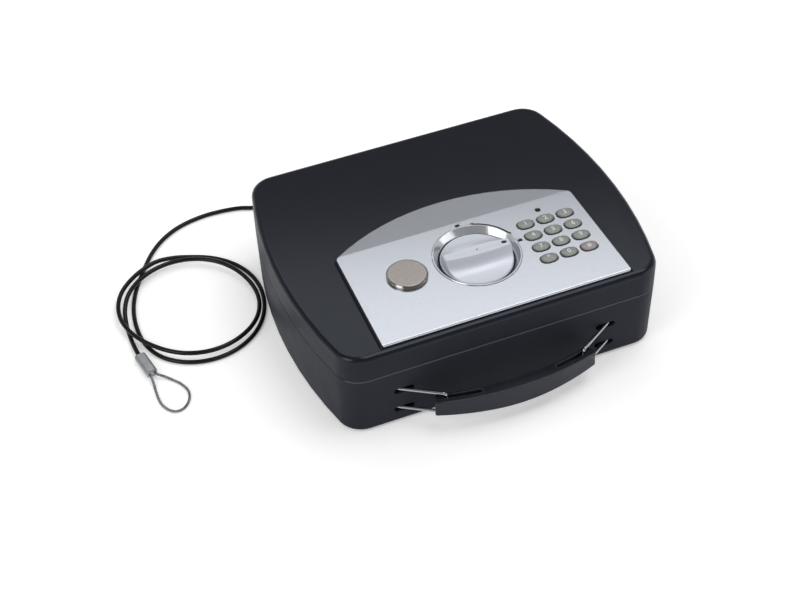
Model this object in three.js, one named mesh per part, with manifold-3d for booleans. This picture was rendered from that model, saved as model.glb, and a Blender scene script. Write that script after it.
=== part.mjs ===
// Portable safe with a keypad, a turn knob, a carrying handle and a tether cable.
// Millimetres, +Z up, the front wall and its handle face -Y, the lid hinges at the back.
// The origin is the centre of the base's flat underside.
import * as THREE from 'three';
import { mergeVertices } from 'three/addons/utils/BufferGeometryUtils.js';
import Module from 'manifold-3d';

const wasm = await Module();
wasm.setup();

// Clearances
const fitGap = 0.3;
const slidingGap = 0.5;
const throughCut = 1;

// Box outline in plan: straight front and back, bowed sides
const boxDepth = 212.5;
const frontHalfWidth = 120;
const middleHalfWidth = 135;
const backHalfWidth = 117.3;
const cornerRadius = 19.8;
const cornerSteps = 7;
const sideSteps = 9;

// Base and lid shells
const baseHeight = 51.5;
const seamGap = 0.6;
const lidHeight = 21.1;
const wall = 3;
const floorThickness = 3;
const lidTopThickness = 2.5;
const baseDraft = 1;
const baseFillet = 3;
const innerFillet = 4;
const lidFillet = 4.5;
const filletSteps = 3;
const tongueThickness = 1.6;
const tongueDepth = 2.5;
const tongueRootRise = 2.5;

// Control panel: a flat front and a facet that slopes down to the back
const panelRise = 3;
const panelThickness = 1.6;
const panelX = 3.4;
const panelFrontSetback = 4.75;
const panelFrontHalfWidth = 95.4;
const panelBackHalfWidth = 93.7;
const panelBackCornerY = -7.3;
const panelCreaseY = -5;
const panelApexY = 23;
const panelSlope = THREE.MathUtils.degToRad(5);
const panelCornerRadius = 3.5;
const panelEdgeRadius = 1.1;
const panelArcSteps = 16;
const seatLip = 0.6;
const seatBevel = 2;
const seatFrontCorner = 1;

// Knob and its well
const knobX = 4.5;
const knobY = -43.5;
const knobRestAngle = THREE.MathUtils.degToRad(-2);
const wellMouthRadius = 31.6;
const wellLip = 0.9;
const wellLipRise = 0.4;
const wellWallThickness = 1.4;
const wellThroatRadius = 28;
const wellConeDepth = 4.6;
const wellDepth = 10.4;
const wellFloorThickness = 1.6;
const wellFlangeRadius = 35.2;
const wellFlangeThickness = 1.4;
const knobRadius = 26.9;
const knobRecess = 3.3;
const knobRimThickness = 6.5;
const knobEdgeRadius = 0.8;
const gripHeight = 8.5;
const gripTopWidth = 10.8;
const gripEndWidth = 6.6;
const gripEndInset = 1.2;
const gripEdge = 0.6;
const gripSpread = 13.5;
const gripSteps = 8;
const gripStations = 12;
const roundSteps = 40;
const smallRoundSteps = 16;
const boreSteps = 10;

// Cam spindle with two spiral slots that drive the bolts
const spindleRadius = 4;
const spindleSquare = 6;
const spindleGripLength = 6;
const journalRadius = 3;
const camRadius = 25;
const camThickness = 2.5;
const boltTravel = 9;
const knobTurn = Math.PI / 2;
const pinCircleRadius = 8.5;
const boltPinRadius = 2;
const spiralSteps = 9;
const camNotchWidth = 5.2;
const camNotchDepth = 3.6;

// Lock chassis, bolts and strikes
const chassisThickness = 1.5;
const coverThickness = 1.6;
const coverRecess = 0.7;
const coverToChassis = 0.6;
const chassisBeamHalfLength = 82;
const chassisBeamFrontY = -97;
const chassisBeamBackY = -63;
const chassisLeftX = -42;
const chassisRightX = 36;
const chassisBackY = 0;
const chassisCornerRadius = 4;
const boltThickness = 3;
const boltWidth = 12;
const boltArmWidth = 9;
const boltLineY = -75;
const boltNose = 1.5;
const boltStudX = [28, 66];
const boltStudRadius = 2;
const boltStandoff = 1;
const strikeClearance = 5;
const strikeThickness = 2.5;
const strikeTabLength = 18;
const strikeTabRise = 9.5;
const strikeWindowGap = 0.6;
const strikeFootLength = 8.5;
const strikeFootThickness = 1.6;
const strikeOverBracket = 3.4;
const strikeFootBelowRim = 3;
const strikeWindowMargin = 2;
const bossRadius = 3.5;
const bossPlaces = [[-70, -91], [70, -91], [-24, -6], [30, -6]];

// Solenoid, its plunger and the override lock
const plungerRadius = 2;
const plungerCollarRadius = 3.5;
const plungerCollarLength = 1.5;
const plungerNose = 1.6;
const solenoidLength = 10.6;
const solenoidWidth = 14;
const solenoidHeight = 10.4;
const springGapLength = 6.2;
const springWire = 0.5;
const springRadius = 2.9;
const springTurns = 4;
const springStepsPerTurn = 10;
const overrideX = -50;
const overrideY = -43.65;
const overrideBodyRadius = 9.3;
const overrideFlangeRadius = 11.2;
const overrideFlangeThickness = 1;
const overrideBodyLength = 13;
const plugRadius = 6.2;
const plugTailRadius = 3;
const plugTurn = Math.PI / 2;
const plungerStroke = 3.5;
const liftCamBase = 3.6;
const liftCamSteps = 7;
const keywayWidth = 1.4;
const keywayHeight = 8;
const keywayDepth = 6;
const yokeThickness = 1.5;
const yokeBar = 2;
const yokeWindowHalf = 8.2;

// Override cap
const capBaseRadius = 15.2;
const capTopRadius = 13.8;
const capHeight = 2.8;
const capSpigotRadius = 12;
const capSpigotDepth = 0.5;

// Keypad
const keypadX = 66.4;
const keypadY = -48;
const keyPitchX = 16;
const keyPitchY = 13.2;
const keyLength = 13.4;
const keyWidth = 9.4;
const keyHoleGap = 0.4;
const keyFlangeGrow = 0.8;
const keyFlangeThickness = 1.1;
const keyTravel = 0.8;
const keyRise = 1.5;
const keySteps = 12;
const keyFullness = 2.5;
const keypadWindowMargin = 1.8;
const membraneThickness = 1.1;
const boardThickness = 1.6;
const boardMargin = 3;
const boardBackY = -11;
const ledX = 65.7;
const ledY = -16.8;
const ledRadius = 1.9;
const ledRise = 0.6;

// Battery bay in the inner cover
const batteryRadius = 7.1;
const batteryLength = 49.5;
const batteryNubRadius = 2.7;
const batteryNubLength = 1;
const batteryPitch = 15;
const batteryCount = 4;
const bayWall = 1.5;
const bayFrontY = 22;
const bayLength = 56;
const batterySideGap = 0.6;

// Hinges
const hingeX = 62;
const barrelRadius = 3;
const hingePinRadius = 1.5;
const hingeWidth = 30;
const baseKnuckleLength = 12;
const knuckleGap = 0.6;
const leafThickness = 1.6;
const baseLeafHeight = 17;
const lidLeafHeight = 14;

// Handle and its wire bails
const handleBowRadius = 168;
const handleReach = 29.5;
const handleHalfLength = 64.5;
const handleEndHeight = 13.5;
const handleCrown = 3.8;
const handleSag = 0.9;
const handleThickness = 9.4;
const handleFrontHollow = 0.5;
const lugSlotWidth = 3.6;
const lugFrontWall = 3.6;
const lugSlotInnerX = 29.5;
const lugSlotOuterX = 58.8;
const handleEdge = 1;
const handleSteps = 16;
const bailRadius = 1.25;
const bailPivotX = 85;
const bailPivotDepth = 4.55;
const bailBarX = 53.5;
const bailUpperZ = 31.4;
const bailLowerZ = 12.6;
const bailBend = 2.4;
const bailFootLength = 5;
const bailHoleInnerX = 71;
const bailHoleOuterX = 86.7;
const bailHoleHeight = 5;
const bracketWidth = 18;
const bracketDepth = 7.4;
const bracketWeb = 3.2;
const bracketEar = 2.4;
const bracketEarGap = 2.8;

// Feet, floor pad and cable
const footRadius = 8;
const footThickness = 1.7;
const footPocketDepth = 1;
const footX = 98;
const footY = 82;
const padThickness = 3;
const padInset = 4.5;
const cableRadius = 1.75;
const cableExitX = -62;
const cableExitZ = 14;
const glandHoleRadius = 4.5;
const glandFlangeRadius = 6.5;
const glandFlangeThickness = 2;
const glandNoseRadius = 3.2;
const glandNoseLength = 8;
const glandNutRadius = 6.6;
const glandNutThickness = 3.6;
const ferruleLength = 21.9;
const ferruleWidth = 8.6;
const ferruleHeight = 6.4;
const ferruleChamfer = 1.6;
const ferruleEndRound = 0.7;
const eyeRopeRadius = 0.8;

// Levels that the pieces share
const halfDepth = boxDepth / 2;
const lidRimZ = baseHeight + seamGap;
const lidTopZ = lidRimZ + lidHeight;
const lidCeilingZ = lidTopZ - lidTopThickness;
const panelTopZ = lidTopZ + panelRise;
const panelUndersideZ = panelTopZ - panelThickness;
const seatFloorZ = panelUndersideZ - fitGap;
const frontInnerY = -halfDepth + wall;
const backInnerY = halfDepth - wall;
const panelFrontY = -halfDepth + panelFrontSetback;
const wellFloorZ = panelTopZ - wellDepth;
const wellBottomZ = wellFloorZ - wellFloorThickness;
const coverBottomZ = lidRimZ - coverRecess;
const coverTopZ = coverBottomZ + coverThickness;
const chassisBottomZ = coverTopZ + coverToChassis;
const chassisTopZ = chassisBottomZ + chassisThickness;
const boltBottomZ = chassisTopZ + fitGap;
const boltTopZ = boltBottomZ + boltThickness;
const camBottomZ = boltTopZ + fitGap;
const camTopZ = camBottomZ + camThickness;
const plungerZ = camBottomZ + camThickness / 2;
const floorZ = footPocketDepth - fitGap - footThickness;
const strikeX = chassisBeamHalfLength + strikeClearance;
const strikeLowZ = bailUpperZ + bracketEarGap + bracketEar + strikeOverBracket;
const strikeFootTopZ = baseHeight - strikeFootBelowRim;
const spiralLead = boltTravel / knobTurn;
const liftCamLead = plungerStroke / plugTurn;

// Colours, roughness and metalness
const finishes = {
  blackShell: new THREE.MeshStandardMaterial({ color: 0x34363b, roughness: 0.42, metalness: 0 }),
  blackHandle: new THREE.MeshStandardMaterial({ color: 0x2a2b2f, roughness: 0.5, metalness: 0 }),
  silverPanel: new THREE.MeshStandardMaterial({ color: 0xc8ccd3, roughness: 0.35, metalness: 0.35 }),
  brightRing: new THREE.MeshStandardMaterial({ color: 0xd4d6da, roughness: 0.2, metalness: 0.8 }),
  capGrey: new THREE.MeshStandardMaterial({ color: 0xa5a09d, roughness: 0.5, metalness: 0.4 }),
  keyGrey: new THREE.MeshStandardMaterial({ color: 0xaab0aa, roughness: 0.35, metalness: 0 }),
  steel: new THREE.MeshStandardMaterial({ color: 0xb4b7bb, roughness: 0.35, metalness: 0.9 }),
  darkSteel: new THREE.MeshStandardMaterial({ color: 0x6d7075, roughness: 0.45, metalness: 0.8 }),
  brass: new THREE.MeshStandardMaterial({ color: 0xb9974f, roughness: 0.35, metalness: 0.9 }),
  foam: new THREE.MeshStandardMaterial({ color: 0x26272a, roughness: 0.95, metalness: 0 }),
  rubber: new THREE.MeshStandardMaterial({ color: 0x1b1c1e, roughness: 0.85, metalness: 0 }),
  membrane: new THREE.MeshStandardMaterial({ color: 0x8b9096, roughness: 0.8, metalness: 0 }),
  board: new THREE.MeshStandardMaterial({ color: 0x1f5c3b, roughness: 0.6, metalness: 0 }),
  lens: new THREE.MeshStandardMaterial({ color: 0x151517, roughness: 0.15, metalness: 0 }),
  cell: new THREE.MeshStandardMaterial({ color: 0x2c4f7c, roughness: 0.4, metalness: 0.2 }),
};

// Closed-mesh tools

function plainMesh(geometry) {
  const copy = geometry.clone();
  copy.deleteAttribute('normal');
  copy.deleteAttribute('uv');
  return mergeVertices(copy, 1e-4);
}

function signedVolume(positions, triangles) {
  const a = new THREE.Vector3();
  const b = new THREE.Vector3();
  const c = new THREE.Vector3();
  let total = 0;
  for (let i = 0; i < triangles.length; i += 3) {
    a.fromArray(positions, triangles[i] * 3);
    b.fromArray(positions, triangles[i + 1] * 3);
    c.fromArray(positions, triangles[i + 2] * 3);
    total += a.dot(b.cross(c));
  }
  return total;
}

function toSolid(geometry) {
  const mesh = plainMesh(geometry);
  const positions = mesh.getAttribute('position').array;
  const index = mesh.getIndex().array;
  const triangles = [];
  for (let i = 0; i < index.length; i += 3) {
    const [a, b, c] = [index[i], index[i + 1], index[i + 2]];
    if (a !== b && b !== c && c !== a) triangles.push(a, b, c);
  }
  if (signedVolume(positions, triangles) < 0) triangles.reverse();
  return new wasm.Manifold(new wasm.Mesh({
    numProp: 3,
    vertProperties: new Float32Array(positions),
    triVerts: new Uint32Array(triangles),
  }));
}

function toGeometry(solid) {
  const mesh = solid.getMesh();
  const geometry = new THREE.BufferGeometry();
  geometry.setAttribute('position', new THREE.BufferAttribute(new Float32Array(mesh.vertProperties), 3));
  geometry.setIndex(new THREE.BufferAttribute(new Uint32Array(mesh.triVerts), 1));
  geometry.computeVertexNormals();
  return geometry;
}

function join(...geometries) {
  return toGeometry(geometries.map(toSolid).reduce((all, next) => all.add(next)));
}

function cut(geometry, ...tools) {
  return toGeometry(tools.map(toSolid).reduce((rest, tool) => rest.subtract(tool), toSolid(geometry)));
}

function common(first, second) {
  return toGeometry(toSolid(first).intersect(toSolid(second)));
}

function clean(geometry) {
  return toGeometry(toSolid(geometry));
}

// Form tools

function toShape(points) {
  return new THREE.Shape(points.map(([x, y]) => new THREE.Vector2(x, y)));
}

function extrudeZ(points, lowZ, highZ) {
  const geometry = new THREE.ExtrudeGeometry(toShape(points), { depth: highZ - lowZ, bevelEnabled: false });
  return geometry.translate(0, 0, lowZ);
}

// A profile of [y, z] points, extruded along X
function extrudeX(points, lowX, highX) {
  const geometry = new THREE.ExtrudeGeometry(toShape(points), { depth: highX - lowX, bevelEnabled: false });
  const turn = new THREE.Matrix4().makeBasis(
    new THREE.Vector3(0, 1, 0), new THREE.Vector3(0, 0, 1), new THREE.Vector3(1, 0, 0));
  return geometry.applyMatrix4(turn).translate(lowX, 0, 0);
}

// A profile of [x, z] points, extruded along Y
function extrudeY(points, lowY, highY) {
  const swapped = points.map(([x, z]) => [z, x]);
  const geometry = new THREE.ExtrudeGeometry(toShape(swapped), { depth: highY - lowY, bevelEnabled: false });
  const turn = new THREE.Matrix4().makeBasis(
    new THREE.Vector3(0, 0, 1), new THREE.Vector3(1, 0, 0), new THREE.Vector3(0, 1, 0));
  return geometry.applyMatrix4(turn).translate(0, lowY, 0);
}

function block(lowX, highX, lowY, highY, lowZ, highZ) {
  const geometry = new THREE.BoxGeometry(highX - lowX, highY - lowY, highZ - lowZ);
  return geometry.translate((lowX + highX) / 2, (lowY + highY) / 2, (lowZ + highZ) / 2);
}

function cylinderZ(x, y, radius, lowZ, highZ, steps = 24) {
  const geometry = new THREE.CylinderGeometry(radius, radius, highZ - lowZ, steps);
  return geometry.rotateX(Math.PI / 2).translate(x, y, (lowZ + highZ) / 2);
}

function cylinderX(lowX, highX, y, radius, z, steps = 16) {
  const geometry = new THREE.CylinderGeometry(radius, radius, highX - lowX, steps);
  return geometry.rotateZ(Math.PI / 2).translate((lowX + highX) / 2, y, z);
}

function cylinderY(x, lowY, highY, radius, z, steps = 16) {
  const geometry = new THREE.CylinderGeometry(radius, radius, highY - lowY, steps);
  return geometry.translate(x, (lowY + highY) / 2, z);
}

// A closed profile of [radius, z] points, revolved about the Z axis through x, y
function revolveZ(profile, x, y, steps = roundSteps) {
  const points = profile.map(([r, z]) => new THREE.Vector2(r, z));
  return clean(new THREE.LatheGeometry(points, steps).rotateX(Math.PI / 2).translate(x, y, 0));
}

// A profile of [radius, y] points, revolved about the Y axis through x, z
function revolveY(profile, x, z, steps) {
  const points = profile.map(([r, y]) => new THREE.Vector2(r, y));
  return clean(new THREE.LatheGeometry(points, steps).translate(x, 0, z));
}

function arcPoints(centerX, centerY, radius, fromAngle, toAngle, steps) {
  return Array.from({ length: steps + 1 }, (_, i) => {
    const angle = fromAngle + (toAngle - fromAngle) * i / steps;
    return [centerX + radius * Math.cos(angle), centerY + radius * Math.sin(angle)];
  });
}

// Stacked outlines of equal point count, closed by a fan at both ends
function loft(rings) {
  const count = rings[0].points.length;
  const positions = rings.flatMap(({ points, z }) => points.flatMap(([x, y]) => [x, y, z]));
  const triangles = [];
  for (let ring = 0; ring < rings.length - 1; ring++) {
    for (let i = 0; i < count; i++) {
      const a = ring * count + i;
      const b = ring * count + (i + 1) % count;
      triangles.push(a, b, b + count, a, b + count, a + count);
    }
  }
  const last = rings.length - 1;
  const cap = (ring, flip) => {
    const { points, z } = rings[ring];
    const centerX = points.reduce((sum, p) => sum + p[0], 0) / count;
    const centerY = points.reduce((sum, p) => sum + p[1], 0) / count;
    const center = positions.length / 3;
    positions.push(centerX, centerY, z);
    for (let i = 0; i < count; i++) {
      const a = ring * count + i;
      const b = ring * count + (i + 1) % count;
      if (flip) triangles.push(center, b, a);
      else triangles.push(center, a, b);
    }
  };
  cap(0, true);
  cap(last, false);
  const geometry = new THREE.BufferGeometry();
  geometry.setAttribute('position', new THREE.BufferAttribute(new Float32Array(positions), 3));
  geometry.setIndex(triangles);
  return clean(geometry);
}

// A round section swept along points, with frames carried along so that it never twists
function sweep(points, radius, sides) {
  const tangents = points.map((point, i) => {
    const before = points[Math.max(i - 1, 0)];
    const after = points[Math.min(i + 1, points.length - 1)];
    return new THREE.Vector3().subVectors(after, before).normalize();
  });
  let side = new THREE.Vector3(0, 0, 1);
  if (Math.abs(tangents[0].z) > 0.9) side = new THREE.Vector3(1, 0, 0);
  const rings = points.map((point, i) => {
    side.addScaledVector(tangents[i], -side.dot(tangents[i])).normalize();
    const other = new THREE.Vector3().crossVectors(tangents[i], side);
    return Array.from({ length: sides }, (_, k) => {
      const angle = 2 * Math.PI * k / sides;
      return point.clone()
        .addScaledVector(side, radius * Math.cos(angle))
        .addScaledVector(other, radius * Math.sin(angle));
    });
  });
  const positions = rings.flat().flatMap((p) => [p.x, p.y, p.z]);
  const triangles = [];
  for (let i = 0; i < points.length - 1; i++) {
    for (let k = 0; k < sides; k++) {
      const a = i * sides + k;
      const b = i * sides + (k + 1) % sides;
      triangles.push(a, b, b + sides, a, b + sides, a + sides);
    }
  }
  for (let k = 1; k < sides - 1; k++) {
    const end = (points.length - 1) * sides;
    triangles.push(0, k + 1, k, end, end + k, end + k + 1);
  }
  const geometry = new THREE.BufferGeometry();
  geometry.setAttribute('position', new THREE.BufferAttribute(new Float32Array(positions), 3));
  geometry.setIndex(triangles);
  return clean(geometry);
}

// A polyline whose inner corners are rounded with arcs
function roundedPath(corners, radius, steps) {
  const path = [corners[0]];
  for (let i = 1; i < corners.length - 1; i++) {
    const toward = new THREE.Vector3().subVectors(corners[i - 1], corners[i]).normalize();
    const away = new THREE.Vector3().subVectors(corners[i + 1], corners[i]).normalize();
    const half = toward.angleTo(away) / 2;
    const inward = new THREE.Vector3().addVectors(toward, away).normalize();
    const center = corners[i].clone().addScaledVector(inward, radius / Math.sin(half));
    const start = corners[i].clone().addScaledVector(toward, radius / Math.tan(half)).sub(center);
    const end = corners[i].clone().addScaledVector(away, radius / Math.tan(half)).sub(center);
    const sweepAngle = start.angleTo(end);
    for (let k = 0; k <= steps; k++) {
      const t = k / steps;
      const along = start.clone().multiplyScalar(Math.sin((1 - t) * sweepAngle))
        .addScaledVector(end, Math.sin(t * sweepAngle)).divideScalar(Math.sin(sweepAngle));
      path.push(center.clone().add(along));
    }
  }
  path.push(corners[corners.length - 1]);
  return path;
}

// Box outline, drawn inward by an inset, counter-clockwise from the middle of the front
function circleThrough([ax, ay], [bx, by], [cx, cy]) {
  const d = 2 * (ax * (by - cy) + bx * (cy - ay) + cx * (ay - by));
  const a = ax * ax + ay * ay;
  const b = bx * bx + by * by;
  const c = cx * cx + cy * cy;
  const x = (a * (by - cy) + b * (cy - ay) + c * (ay - by)) / d;
  const y = (a * (cx - bx) + b * (ax - cx) + c * (bx - ax)) / d;
  return { x, y, radius: Math.hypot(ax - x, ay - y) };
}

const sideBow = circleThrough([frontHalfWidth, -halfDepth], [middleHalfWidth, 0], [backHalfWidth, halfDepth]);

function boxOutline(inset) {
  const radius = Math.max(cornerRadius - inset, throughCut);
  const bow = sideBow.radius - inset;
  const centerAt = (y) => sideBow.x + Math.sqrt((bow - radius) ** 2 - (y - sideBow.y) ** 2);
  const frontY = -halfDepth + inset + radius;
  const backY = halfDepth - inset - radius;
  const frontX = centerAt(frontY);
  const backX = centerAt(backY);
  const frontAngle = Math.atan2(frontY - sideBow.y, frontX - sideBow.x);
  const backAngle = Math.atan2(backY - sideBow.y, backX - sideBow.x);
  const right = [
    ...arcPoints(frontX, frontY, radius, -Math.PI / 2, frontAngle, cornerSteps),
    ...arcPoints(sideBow.x, sideBow.y, bow, frontAngle, backAngle, sideSteps).slice(1, -1),
    ...arcPoints(backX, backY, radius, backAngle, Math.PI / 2, cornerSteps),
  ];
  return [...right, ...right.map(([x, y]) => [-x, y]).reverse()];
}

// Rings of the box outline along a quarter-round edge
function filletRings(outerInset, edgeZ, radius, direction, outward) {
  return Array.from({ length: filletSteps + 1 }, (_, i) => {
    const angle = (Math.PI / 2) * i / filletSteps;
    const inset = outerInset + radius * (1 - (outward ? Math.sin(angle) : Math.cos(angle)));
    const rise = radius * (1 - (outward ? Math.cos(angle) : Math.sin(angle)));
    return { points: boxOutline(inset), z: edgeZ + direction * rise };
  });
}

// Control panel outline: tapered sides, rounded corners and a bowed back edge
function panelOutline(sideGrow, frontGrow, frontCorner) {
  const frontX = panelFrontHalfWidth + sideGrow;
  const backX = panelBackHalfWidth + sideGrow;
  const frontY = panelFrontY - frontGrow;
  const apexY = panelApexY + sideGrow;
  const bow = circleThrough([-backX, panelBackCornerY], [0, apexY], [backX, panelBackCornerY]);
  const cornerX = backX - panelCornerRadius;
  const bowInner = bow.radius - panelCornerRadius;
  const cornerY = bow.y + Math.sqrt(bowInner ** 2 - (cornerX - bow.x) ** 2);
  const cornerAngle = Math.atan2(cornerY - bow.y, cornerX - bow.x);
  const right = [
    ...arcPoints(frontX - frontCorner, frontY + frontCorner, frontCorner, -Math.PI / 2, 0, 3),
    ...arcPoints(cornerX, cornerY, panelCornerRadius, 0, cornerAngle, 4),
  ];
  const back = arcPoints(bow.x, bow.y, bow.radius, cornerAngle, Math.PI - cornerAngle, panelArcSteps);
  const left = right.map(([x, y]) => [-x, y]).reverse();
  return [...right, ...back.slice(1, -1), ...left].map(([x, y]) => [panelX + x, y]);
}

// The panel's bent top surface, lowered by a drop, as a slab down to a level or a thickness
function panelSlab(drop, thickness, frontY, edgeRadius) {
  const backY = panelApexY + 4 * seatBevel;
  const top = panelTopZ - drop;
  const backZ = top - (backY - panelCreaseY) * Math.tan(panelSlope);
  const edge = edgeRadius > 0
    ? arcPoints(frontY + edgeRadius, top - edgeRadius, edgeRadius, Math.PI, Math.PI / 2, 3)
    : [[frontY, top]];
  const profile = [
    ...edge,
    [panelCreaseY, top],
    [backY, backZ],
    [backY, backZ - thickness],
    [panelCreaseY, top - thickness],
    [frontY, top - thickness],
  ];
  return extrudeX(profile, -middleHalfWidth, middleHalfWidth);
}

// Base
const hingeY = halfDepth + fitGap + barrelRadius;
const hingeZ = baseHeight + seamGap / 2;
const webBelow = hingeZ - seamGap / 2 - fitGap;
const webAbove = hingeZ + seamGap / 2 + fitGap;
const lidKnuckleLength = (hingeWidth - baseKnuckleLength) / 2 - knuckleGap;
const bailPivotY = -halfDepth + bailPivotDepth;

function baseShell() {
  const inside = wall;
  const tray = loft([
    ...filletRings(baseDraft, 0, baseFillet, 1, true),
    { points: boxOutline(0), z: baseHeight },
    { points: boxOutline(inside), z: baseHeight },
    ...filletRings(inside, floorThickness, innerFillet, 1, true).reverse(),
  ]);
  const tools = [];
  for (const side of [-1, 1]) {
    for (const z of [bailUpperZ, bailLowerZ]) {
      tools.push(bailHole(side, z));
    }
    for (const y of [-footY, footY]) {
      tools.push(cylinderZ(side * footX, y, footRadius + fitGap, -throughCut, footPocketDepth));
    }
    const notch = baseKnuckleLength / 2 + fitGap;
    tools.push(block(
      side * hingeX - notch, side * hingeX + notch,
      backInnerY - throughCut, halfDepth + throughCut,
      webBelow - leafThickness - fitGap, baseHeight + throughCut));
  }
  tools.push(cylinderY(cableExitX, backInnerY - throughCut, halfDepth + throughCut,
    glandHoleRadius, cableExitZ, 20));
  return cut(tray, ...tools);
}

function bailHole(side, z) {
  const radius = bailHoleHeight / 2;
  const inner = bailHoleInnerX + radius;
  const outer = bailHoleOuterX - radius;
  const points = [
    ...arcPoints(outer, z, radius, -Math.PI / 2, Math.PI / 2, 8),
    ...arcPoints(inner, z, radius, Math.PI / 2, 3 * Math.PI / 2, 8),
  ].map(([x, height]) => [side * x, height]);
  return extrudeY(points, -halfDepth - throughCut, frontInnerY + throughCut);
}

function floorPad() {
  const lowZ = floorThickness + fitGap;
  return loft([
    { points: boxOutline(wall + padInset), z: lowZ },
    { points: boxOutline(wall + padInset), z: lowZ + padThickness - 1 },
    { points: boxOutline(wall + padInset + 1), z: lowZ + padThickness },
  ]);
}

function foot(x, y) {
  const top = footPocketDepth - fitGap;
  return revolveZ([
    [0, floorZ],
    [footRadius - 0.8, floorZ],
    [footRadius, floorZ + 0.6],
    [footRadius, top],
    [0, top],
  ], x, y, smallRoundSteps);
}

// A bail's bracket: two ears on a web, bored for the bail's upright feet
function bailBracket(side) {
  const wallY = frontInnerY + fitGap;
  const backY = wallY + bracketDepth;
  const webY = backY - bracketWeb;
  const upperEar = bailUpperZ + bracketEarGap;
  const lowerEar = bailLowerZ - bracketEarGap;
  const profile = [
    [wallY, lowerEar - bracketEar],
    [backY, lowerEar - bracketEar],
    [backY, upperEar + bracketEar],
    [wallY, upperEar + bracketEar],
    [wallY, upperEar],
    [webY, upperEar],
    [webY, lowerEar],
    [wallY, lowerEar],
  ];
  const centerX = side * bailPivotX;
  const body = extrudeX(profile, centerX - bracketWidth / 2, centerX + bracketWidth / 2);
  const bore = cylinderZ(centerX, bailPivotY, bailRadius + fitGap,
    lowerEar - bracketEar - throughCut, upperEar + bracketEar + throughCut, 16);
  return cut(body, bore);
}

// A strike: an upright plate that the bolt enters, with a foot on the front wall
function strike(side) {
  const wallY = frontInnerY + fitGap;
  const tabBackY = boltLineY + strikeTabLength / 2;
  const tabFrontY = boltLineY - strikeTabLength / 2;
  const tabTopZ = lidRimZ + strikeTabRise;
  const corner = 3;
  const profile = [
    [wallY, strikeLowZ],
    [tabBackY - 2 * corner, strikeLowZ],
    [tabBackY, strikeLowZ + 2 * corner],
    ...arcPoints(tabBackY - corner, tabTopZ - corner, corner, 0, Math.PI / 2, 3),
    ...arcPoints(tabFrontY + corner, tabTopZ - corner, corner, Math.PI / 2, Math.PI, 3),
    [tabFrontY, strikeFootTopZ],
    [wallY, strikeFootTopZ],
  ];
  const plate = extrudeX(profile, strikeX, strikeX + strikeThickness);
  const slotGap = slidingGap;
  const slot = block(
    strikeX - throughCut, strikeX + strikeThickness + throughCut,
    boltLineY - boltWidth / 2 - slotGap, boltLineY + boltWidth / 2 + slotGap,
    boltBottomZ - slotGap, boltTopZ + slotGap);
  const footPlate = block(
    strikeX, strikeX + strikeThickness + strikeFootLength,
    wallY, wallY + strikeFootThickness,
    strikeLowZ, strikeFootTopZ);
  const right = cut(join(plate, footPlate), slot);
  return side > 0 ? right : mirrorX(right);
}

function mirrorX(geometry) {
  const copy = plainMesh(geometry).scale(-1, 1, 1);
  return clean(copy);
}

// Hinge leaves: a plate inside the wall, a web through the seam and rolled knuckles
function knuckle(centerX, length) {
  const low = centerX - length / 2;
  return cylinderX(low, low + length, hingeY, barrelRadius, hingeZ, smallRoundSteps);
}

function pinBore(centerX) {
  const reach = hingeWidth / 2 + throughCut;
  return cylinderX(centerX - reach, centerX + reach, hingeY, hingePinRadius + fitGap, hingeZ, boreSteps);
}

function hingeBaseLeaf(side) {
  const centerX = side * hingeX;
  const plateFrontY = backInnerY - fitGap - leafThickness;
  const plateTopZ = webBelow;
  const plate = block(
    centerX - hingeWidth / 2, centerX + hingeWidth / 2,
    plateFrontY, plateFrontY + leafThickness,
    plateTopZ - baseLeafHeight, plateTopZ - leafThickness);
  const web = block(
    centerX - baseKnuckleLength / 2, centerX + baseKnuckleLength / 2,
    plateFrontY, hingeY,
    webBelow - leafThickness, webBelow);
  const root = block(
    centerX - baseKnuckleLength / 2, centerX + baseKnuckleLength / 2,
    plateFrontY, plateFrontY + leafThickness,
    plateTopZ - baseLeafHeight, webBelow);
  return cut(join(plate, root, web, knuckle(centerX, baseKnuckleLength)), pinBore(centerX));
}

function hingeLidLeaf(side) {
  const centerX = side * hingeX;
  const plateFrontY = backInnerY - fitGap - leafThickness;
  const rootZ = lidRimZ + tongueRootRise + tongueThickness + fitGap;
  const offset = (hingeWidth - lidKnuckleLength) / 2;
  const pieces = [block(
    centerX - hingeWidth / 2, centerX + hingeWidth / 2,
    plateFrontY, plateFrontY + leafThickness,
    rootZ, webAbove + lidLeafHeight)];
  for (const end of [-1, 1]) {
    const knuckleX = centerX + end * offset;
    const low = knuckleX - lidKnuckleLength / 2;
    pieces.push(
      block(low, low + lidKnuckleLength, plateFrontY, plateFrontY + leafThickness, webAbove, rootZ + 1),
      block(low, low + lidKnuckleLength, plateFrontY, hingeY, webAbove, webAbove + leafThickness),
      knuckle(knuckleX, lidKnuckleLength));
  }
  return cut(join(...pieces), pinBore(centerX));
}

function hingePin(side) {
  const head = 1;
  const low = side * hingeX - hingeWidth / 2;
  const pin = cylinderX(low - head, low + hingeWidth + head, hingeY, hingePinRadius, hingeZ, boreSteps);
  const leftHead = cylinderX(low - head - fitGap, low - fitGap, hingeY, hingePinRadius + 1, hingeZ, boreSteps);
  const right = low + hingeWidth + fitGap;
  const rightHead = cylinderX(right, right + head, hingeY, hingePinRadius + 1, hingeZ, boreSteps);
  return join(pin, leftHead, rightHead);
}

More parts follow.
